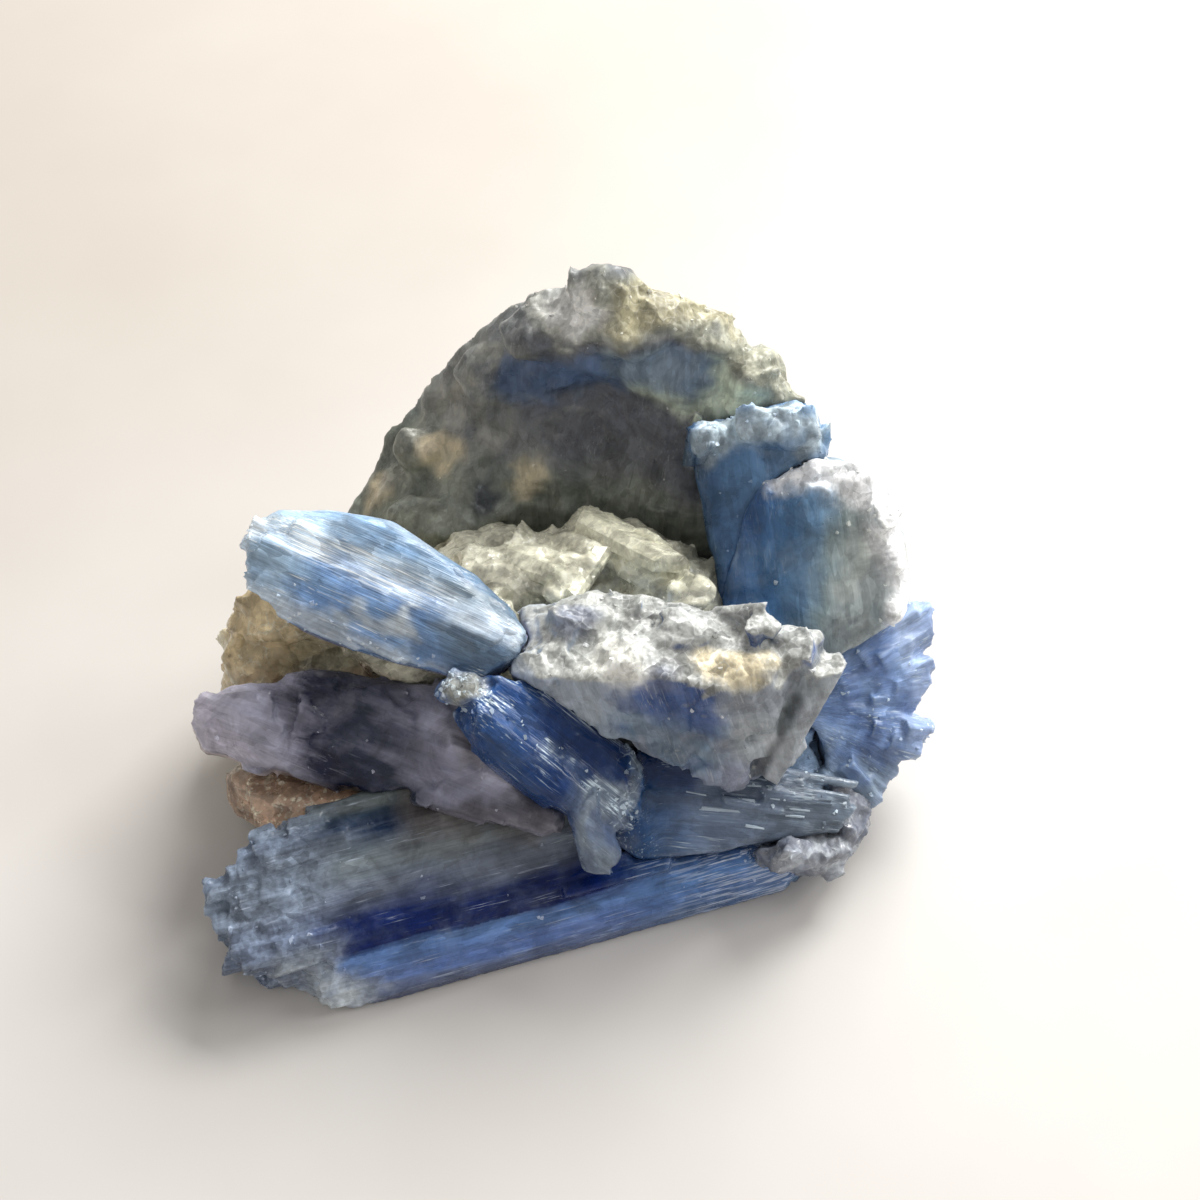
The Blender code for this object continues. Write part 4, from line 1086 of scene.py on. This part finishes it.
def back_mass():
    grain = straight((0.0, 24.0, 20.0), (0.05, 0.15, 1.0), (0.0, -1.0, 0.2))
    lip = [(-1.0, 28.6, 36.8), (3.0, 27.0, 38.2), (8.0, 27.6, 38.6), (12.7, 28.0, 36.8),
           (17.0, 27.0, 34.2), (21.8, 24.0, 31.2), (24.0, 20.5, 28.6)]
    pale_edge = [(-21.4, 23.2, 13.5), (-19.6, 24.0, 16.4), (-15.0, 26.4, 22.0), (-11.0, 28.4, 27.0),
                 (-8.0, 28.8, 30.4)]
    navy_band = [(-5.2, 26.8, 28.6), (1.2, 26.5, 29.6), (7.3, 24.5, 32.6), (12.4, 24.4, 32.0)]
    steel_band = [(7.0, 24.0, 32.0), (14.0, 23.0, 31.0), (18.0, 22.0, 29.0)]
    yellow_lip = [(6.0, 26.4, 38.6), (10.0, 28.0, 38.2), (16.0, 29.0, 36.2)]
    tan_spots = [(-22.4, 22.8, 12.8), (-14.2, 23.4, 19.5), (-4.4, 20.8, 18.0)]
    columns = kyanite_relief(grain, 0.25, 0.4, 2.8, 64)

    def on_lip(co, normal=None):
        return near_line(co, lip, 4.4)

    def in_hollow(co, normal):
        """The hollow in the front of the mass, by which way its skin faces."""
        inside = ramp_up(-normal[:, 1] + 0.2 * clouds(co / 3.0, 61), 0.0, 0.5)
        return inside * ramp_up(co[:, 0], -15.0, -10.0) * ramp_up(co[:, 2], 37.0, 35.0)

    def masks(co, loose, normal):
        hollow = in_hollow(co, normal)
        return {
            "zone": np.clip(0.5 + 0.5 * clouds(squeezed(co, 3, 3, 7), 62), 0, 1),
            # Painted shade: darker high in the hollow, under the lip.
            "dark": hollow * ramp_up(loose[:, 2], 17.0, 23.0) * ramp_up(loose[:, 0], -9.0, -1.0),
            "moss": ramp_up(loose[:, 2], 23.0, 17.0),
            "navy": hollow * near_line(loose, navy_band, 4.6),
            "steel": hollow * near_line(loose, steel_band, 4.6),
            # Painted shade: a dark spot where a pit lies.
            "pit": near_points(loose, [(-9.3, 19.5, 17.3)], 3.2),
            "rim": on_lip(loose),
            "yellow": near_line(loose, yellow_lip, 3.6),
            "white": near_points(loose, [(-0.8, 29.0, 37.2), (1.6, 27.6, 37.6)], 4.2),
            "frost": near_line(loose, pale_edge, 1.8),
            "peak": near_points(loose, [(-4.0, 29.0, 33.6), (1.6, 31.0, 40.4)], 3.6),
            "tan": 0.8 * near_points(loose, tan_spots, 3.6),
        }

    def relief(co, normal):
        rim = on_lip(co)
        soft_lumps = 0.6 * clouds(co / 5.0, 68) + 0.2 * clouds(co / 2.4, 69)
        breaks = 0.25 * facets(co, 2.6, 63) * (0.4 + 0.6 * rim)
        return breaks + columns(co, normal) * (1 - rim) + soft_lumps
    stops = ((0.1, "4a4d50"), (0.4, "606364"), (0.65, "6e6f6c"), (0.9, "848480"))
    tints = (("moss", "676c63", 0.75), ("dark", "4e5056", 0.85), ("steel", "b9c1ab", 0.95),
             ("navy", "4a5c7a", 0.8), ("tan", "c0b295", 0.6), ("pit", "30343c", 0.8),
             ("frost", "84847c", 0.6), ("rim", "878778", 0.85), ("yellow", "817c66", 0.9),
             ("peak", "66696a", 0.7), ("white", "c9ccc7", 0.8))
    look = kyanite("back_kyanite", stops, "8a8a84", 0.4, "babbb6", tints, streaks=0.15, rough=0.34,
                   spread=0.4, crumbs="rim", lines=0.05, glow=0.6, mottle=0.34, lace=0.2)
    growths = [shards(30, 2.8, 0.06, on_lip), plates(20, 2.8, 0.1, in_hollow)]
    bits = [shards(60, 0.5, 0.02, on_lip, 0.8), shards(120, 0.4, 0.02, anywhere, 0.5)]
    bars = [Bar((12.9, 21.0, 24.6), (13.6, 21.6, 28.4), 1.2, 0.8, (0.0, -1.0, 0.2)),
            Bar((-12.2, 17.0, 12.6), (-12.8, 18.0, 16.4), 1.0, 0.8, (0.0, -1.0, 0.2))]
    crystal("back_mass", relief, quartz_fine(0.035, 67), masks, look, grain, 1500,
            growths, bars, bits, voxel=FINE_VOXEL * 1.15, soft=12)


def right_blade():
    grain = straight((17.5, 9.1, 24.0), (2.0, -17.0, -13.6), (-0.25, -0.62, 0.74))
    lumps = [(14.3, 17.1, 30.4), (18.0, 17.4, 31.6), (21.5, 17.2, 32.6), (24.6, 16.4, 32.0)]
    rim_side = [(18.0, 12.6, 26.4), (17.4, 9.4, 20.2), (16.4, 5.6, 17.5)]

    def crest(co, normal=None):
        return near_line(co, lumps, 3.2)

    def masks(co, loose, normal):
        return {
            # Darker towards the left and the bottom: the blade's own deep blue, and painted shade beside
            # the hollow.
            "zone": np.clip(0.5 + 0.06 * (loose[:, 0] - 18.0) + 0.015 * (co[:, 2] - 24.0), 0, 1),
            "pale": crest(loose),
        }

    def relief(co, normal):
        return (0.5 * clouds(co / 4.0, 70) + 0.15 * crest(co) * facets(co, 2.4, 74)
                + 0.45 * near_line(co, rim_side, 2.6))
    stops = ((0.1, "27313b"), (0.35, "3b516c"), (0.6, "526e8c"), (0.95, "677d94"))
    look = kyanite("smooth_kyanite", stops, "4d6585", 0.4, "a9b8c6", (("pale", "96a1a6", 0.9),),
                   spread=0.4, edge_share=0.35, crumbs="pale", **SMOOTH)
    bits = [shards(30, 0.5, 0.02, crest, 0.8), shards(50, 0.35, 0.02, anywhere, 0.4)]
    bridge = [Bar((18.6, 13.2, 27.0), (16.4, 5.4, 17.2), 4.4, 1.8, (-0.1, -0.6, 0.8))]
    prisms = [Bar((12.5, 16.4, 26.6), (12.8, 17.2, 30.4), 1.6, 1.0, (-0.4, -0.85, 0.2)),
              Bar((13.6, 15.9, 27.6), (14.2, 16.6, 31.4), 1.2, 0.9, (-0.1, -0.95, 0.2))]
    crystal("right_blade", relief, kyanite_fine(grain, 0.04, 73), masks, look, grain,
            1600, [shards(14, 2.6, 0.05, crest)], bridge, bits, prisms, soft=40)


def right_rim_blade():
    grain = straight((24.5, 6.8, 25.0), (2.0, -11.2, -9.6), (-0.21, -0.66, 0.72))
    outer = [(22.0, 13.6, 29.6), (26.3, 13.0, 30.8), (29.2, 12.0, 30.5), (31.4, 10.3, 29.3),
             (33.1, 7.8, 27.4), (34.0, 5.4, 25.8), (34.4, 1.4, 22.3)]
    seam = [(18.1, 11.7, 25.8), (17.1, 10.4, 25.0), (16.6, 7.4, 22.2)]
    blade_side = [(18.4, 12.6, 26.8), (18.4, 9.4, 21.0), (17.4, 5.6, 18.0)]

    def rim(co, normal=None):
        return near_line(co, outer, 4.2)

    def masks(co, loose, normal):
        return {
            "zone": np.clip((loose[:, 0] - 17.0 - 0.15 * (co[:, 1] - 7.0)) / 15.0, 0, 1),
            "rim": rim(loose),
            # Painted light: paler along the seam, where the two blades meet in a shaded crease.
            "seam": near_line(co, seam, 1.1),
            "base": (ramp_up(loose[:, 2] - 0.9 * (co[:, 0] - 26.0), 22.5, 19.0)
                     * ramp_up(co[:, 0], 22.0, 26.0)),
        }

    def relief(co, normal):
        return (0.4 * clouds(co / 4.0, 83) + 0.2 * rim(co) * facets(co, 3.4, 84)
                + 0.75 * near_line(co, blade_side, 2.6))
    stops = ((0.02, "375279"), (0.28, "466587"), (0.5, "5b748b"), (0.68, "707d7f"), (0.9, "a7aba5"))
    tints = (("base", "747d81", 0.7), ("rim", "cfd0cb", 0.85), ("seam", "7d8fa6", 0.5))
    look = kyanite("rim_kyanite", stops, "6c7c88", 0.35, "c4c6c0", tints, spread=0.3, crumbs="rim",
                   lace=0.2, **SMOOTH)
    bits = [shards(50, 0.5, 0.02, rim, 0.8), shards(50, 0.35, 0.02, anywhere, 0.4)]
    crystal("right_rim_blade", relief, quartz_fine(0.03, 85), masks, look, grain, 1700,
            [shards(10, 3.4, 0.03, rim)], bits=bits, soft=32)


def right_fan():
    grain = radiating((20.0, -4.5, 13.2), (0.35, -0.55, 0.76), 12.0)

    def outer(co, normal):
        return ramp_up(grain(co)[0][:, 0], 6.0, 12.0)

    def masks(co, loose, normal):
        return {
            "zone": np.clip(0.45 + 0.03 * (co[:, 2] - 13.0) + 0.4 * clouds(co / 3.5, 91), 0, 1),
            "teal": ramp_up(loose[:, 2], 11.0, 7.5),
            "frost": ramp_up(grain(co)[0][:, 0], 13.0, 17.0),
        }
    stops = ((0.1, "3c4a6a"), (0.4, "55698f"), (0.65, "6b80a3"), (0.9, "8596ad"))
    tints = (("teal", "667179", 0.75), ("frost", "92a0ba", 0.5))
    look = kyanite("fan_kyanite", stops, "8290a8", 0.35, "bcc8da", tints, streaks=0.6, rough=0.3,
                   spread=0.4)
    crystal("right_fan", kyanite_relief(grain, 0.25, 0.5, 2.2, 90),
            kyanite_fine(grain, 0.05, 93), masks, look, grain, 1800,
            [blocks(60, 2.8, 0.1, outer, 0.1)], bits=[shards(120, 0.45, 0.03, outer, 0.7)], soft=8)


def corner_quartz():
    grain = straight((26.0, -14.0, 3.0), (1.0, 0.0, 0.0), (0.0, 0.0, 1.0))

    def masks(co, loose, normal):
        return {"violet": ramp_up(clouds(co / 3.0, 95), 0.0, 0.4)}
    look = quartz("corner_quartz_look", "5a5e69", "7a7e87", "9a9fa3", (("violet", "656c7c", 0.6),))
    crystal("corner_quartz", quartz_relief(0.45, 0.12, 96), quartz_fine(0.06, 97),
            masks, look, grain, 1900, [shards(24, 3.6, 0.15, anywhere)],
            bits=[shards(50, 0.8, 0.04, anywhere, 0.6)])


def quartz_matrix():
    grain = straight((0.0, 0.0, 10.0), (0.7, -0.7, 0.2), (0.0, 0.0, 1.0))
    lump = [(2.0, 14.4, 20.0), (7.0, 9.0, 22.7), (11.3, 4.6, 23.0)]
    left_side = [(-32.8, 1.2, 16.6), (-34.0, 0.0, 8.0), (-31.0, 4.0, 18.0), (-25.0, 8.0, 19.0)]
    left_corner = [(-27.0, -6.0, 12.0), (-33.0, -12.0, 6.4), (-29.4, -13.4, 9.1),
                   (-23.9, -13.5, 11.6), (-22.0, -6.0, 14.0)]

    def by_front(co, normal):
        return near_line(co, [(-31.0, -15.0, 8.0), (-20.0, -16.5, 11.0)], 5.0)

    def masks(co, loose, normal):
        return {
            "tan": near_points(loose, left_side, 9.0),
            "brown": near_points(loose, left_corner, 8.0),
            "shaded": near_points(loose, [(13.7, 8.8, 20.0), (16.0, 6.0, 19.0)], 4.0),
            # Painted light: a paler, warmer brown by the front, where the lower left blade shades the
            # quartz, over the quartz's own brown.
            "amber": near_line(loose, [(-31.0, -14.4, 8.6), (-19.0, -16.6, 11.4)], 5.0),
            "bright": near_line(loose, lump, 3.4),
        }

    def relief(co, normal):
        breaks = 0.8 * facets(co, 5.4, 102) + 0.15 * facets(co, 2.2, 104)
        return breaks + 0.3 * clouds(co / 3.0, 105)
    tints = (("tan", "b09d78", 0.85), ("brown", "8c7363", 0.9), ("amber", "ab907b", 0.7),
             ("shaded", "777a72", 0.7), ("bright", "b8b7a0", 0.7))
    look = quartz("matrix_quartz", "858479", "bab8a6", "c7c6b4", tints)
    growths = [shards(70, 5.2, 0.25, anywhere), shards(60, 2.4, 0.1, anywhere)]
    corner = [Bar((-31.0, -14.4, 8.4), (-22.0, -15.6, 9.6), 7.0, 5.0, (0.0, -0.6, 0.8))]
    # The small crystals by the front are painted pale as glints.
    bits = [shards(600, 0.5, 0.04, anywhere, 0.8), shards(160, 0.5, 0.05, by_front, 2.0)]
    prisms = [Bar((1.6, 14.0, 20.6), (10.6, 5.6, 24.0), 4.4, 2.2, (0.5, 0.2, 0.85)),
              Bar((-6.2, 8.4, 21.0), (-1.4, 4.6, 23.4), 3.0, 1.6, (-0.2, -0.2, 0.95)),
              Bar((3.4, 8.6, 22.2), (0.4, 2.6, 22.6), 2.2, 1.4, (0.1, 0.2, 0.95))]
    crystal("quartz_matrix", relief, quartz_fine(0.05, 103), masks, look, grain,
            2000, growths, corner, bits, prisms, voxel=FINE_VOXEL * 1.42)


# ---------------------------------------------------------------- floor, light and camera

def stage():
    """The floor, the lamps and the light of the room."""
    bpy.ops.mesh.primitive_plane_add(size=FLOOR_M)
    floor = bpy.context.object
    floor.name = "floor"
    g = Graph("floor_paint")
    body = g.node("ShaderNodeTexCoord").outputs["Object"]
    soft = g.noise(g.stretched(body, 30.0), 3.0)
    paint = g.ramp(soft, ((0.3, shade("cfcbc6")), (0.7, shade("d5d2ce"))))
    # Painted shade: the floor is darker and warmer towards the back and the left.
    split = g.node("ShaderNodeSeparateXYZ", {0: body})
    far = g.math("SUBTRACT", split.outputs["Y"], g.times(split.outputs["X"], 0.5))
    paint = g.blend(g.span(far, 0.0, 0.11), paint, g.shaded(paint, shade("e9e4de")))
    floor.data.materials.append(g.finish(Base_Color=paint, Roughness=0.6))

    lamp("window", (0.25, 0.47, 0.42), (0.42, 0.32), 7.4, (1.0, 0.99, 0.97))
    lamp("side_window", (0.36, 0.10, 0.30), (0.16, 0.22), 0.7, (0.96, 0.98, 1.0))

    world = bpy.data.worlds.new("room")
    world.use_nodes = True
    walls = world.node_tree.nodes["Background"].inputs
    walls["Color"].default_value = (1.0, 0.965, 0.94, 1.0)
    walls["Strength"].default_value = 0.46
    bpy.context.scene.world = world
    bpy.context.scene.view_settings.view_transform = "Standard"
    light_paths = bpy.context.scene.cycles  # fewer bounces look the same here and render faster
    light_paths.max_bounces = 6
    light_paths.diffuse_bounces = 2
    light_paths.glossy_bounces = 2
    light_paths.transmission_bounces = 4


def lamp(name, place_m, size_m, energy, colour):
    """A soft window-like light that points at the cluster."""
    light = bpy.data.lights.new(name, "AREA")
    light.shape = "RECTANGLE"
    light.size, light.size_y = size_m
    light.energy = energy
    light.color = colour
    holder = bpy.data.objects.new(name, light)
    holder.location = place_m
    holder.rotation_euler = (LIT_M - holder.location).to_track_quat("-Z", "Y").to_euler()
    bpy.context.scene.collection.objects.link(holder)


def camera():
    eye = bpy.data.cameras.new("camera")
    eye.lens = LENS
    eye.sensor_width = SENSOR
    eye.clip_start = 0.01
    holder = bpy.data.objects.new("camera", eye)
    back = Vector((0.0, -math.cos(TILT), math.sin(TILT)))
    holder.location = (TARGET + back * DISTANCE) * MM
    holder.rotation_euler = (math.pi / 2 - TILT, 0.0, 0.0)
    bpy.context.scene.collection.objects.link(holder)
    bpy.context.scene.camera = holder


stage()
camera()
for make in (front_blade, upper_left_blade, lower_left_blade, middle_blade, centre_block, back_mass,
             right_blade, right_rim_blade, right_fan, corner_quartz, quartz_matrix):
    make()
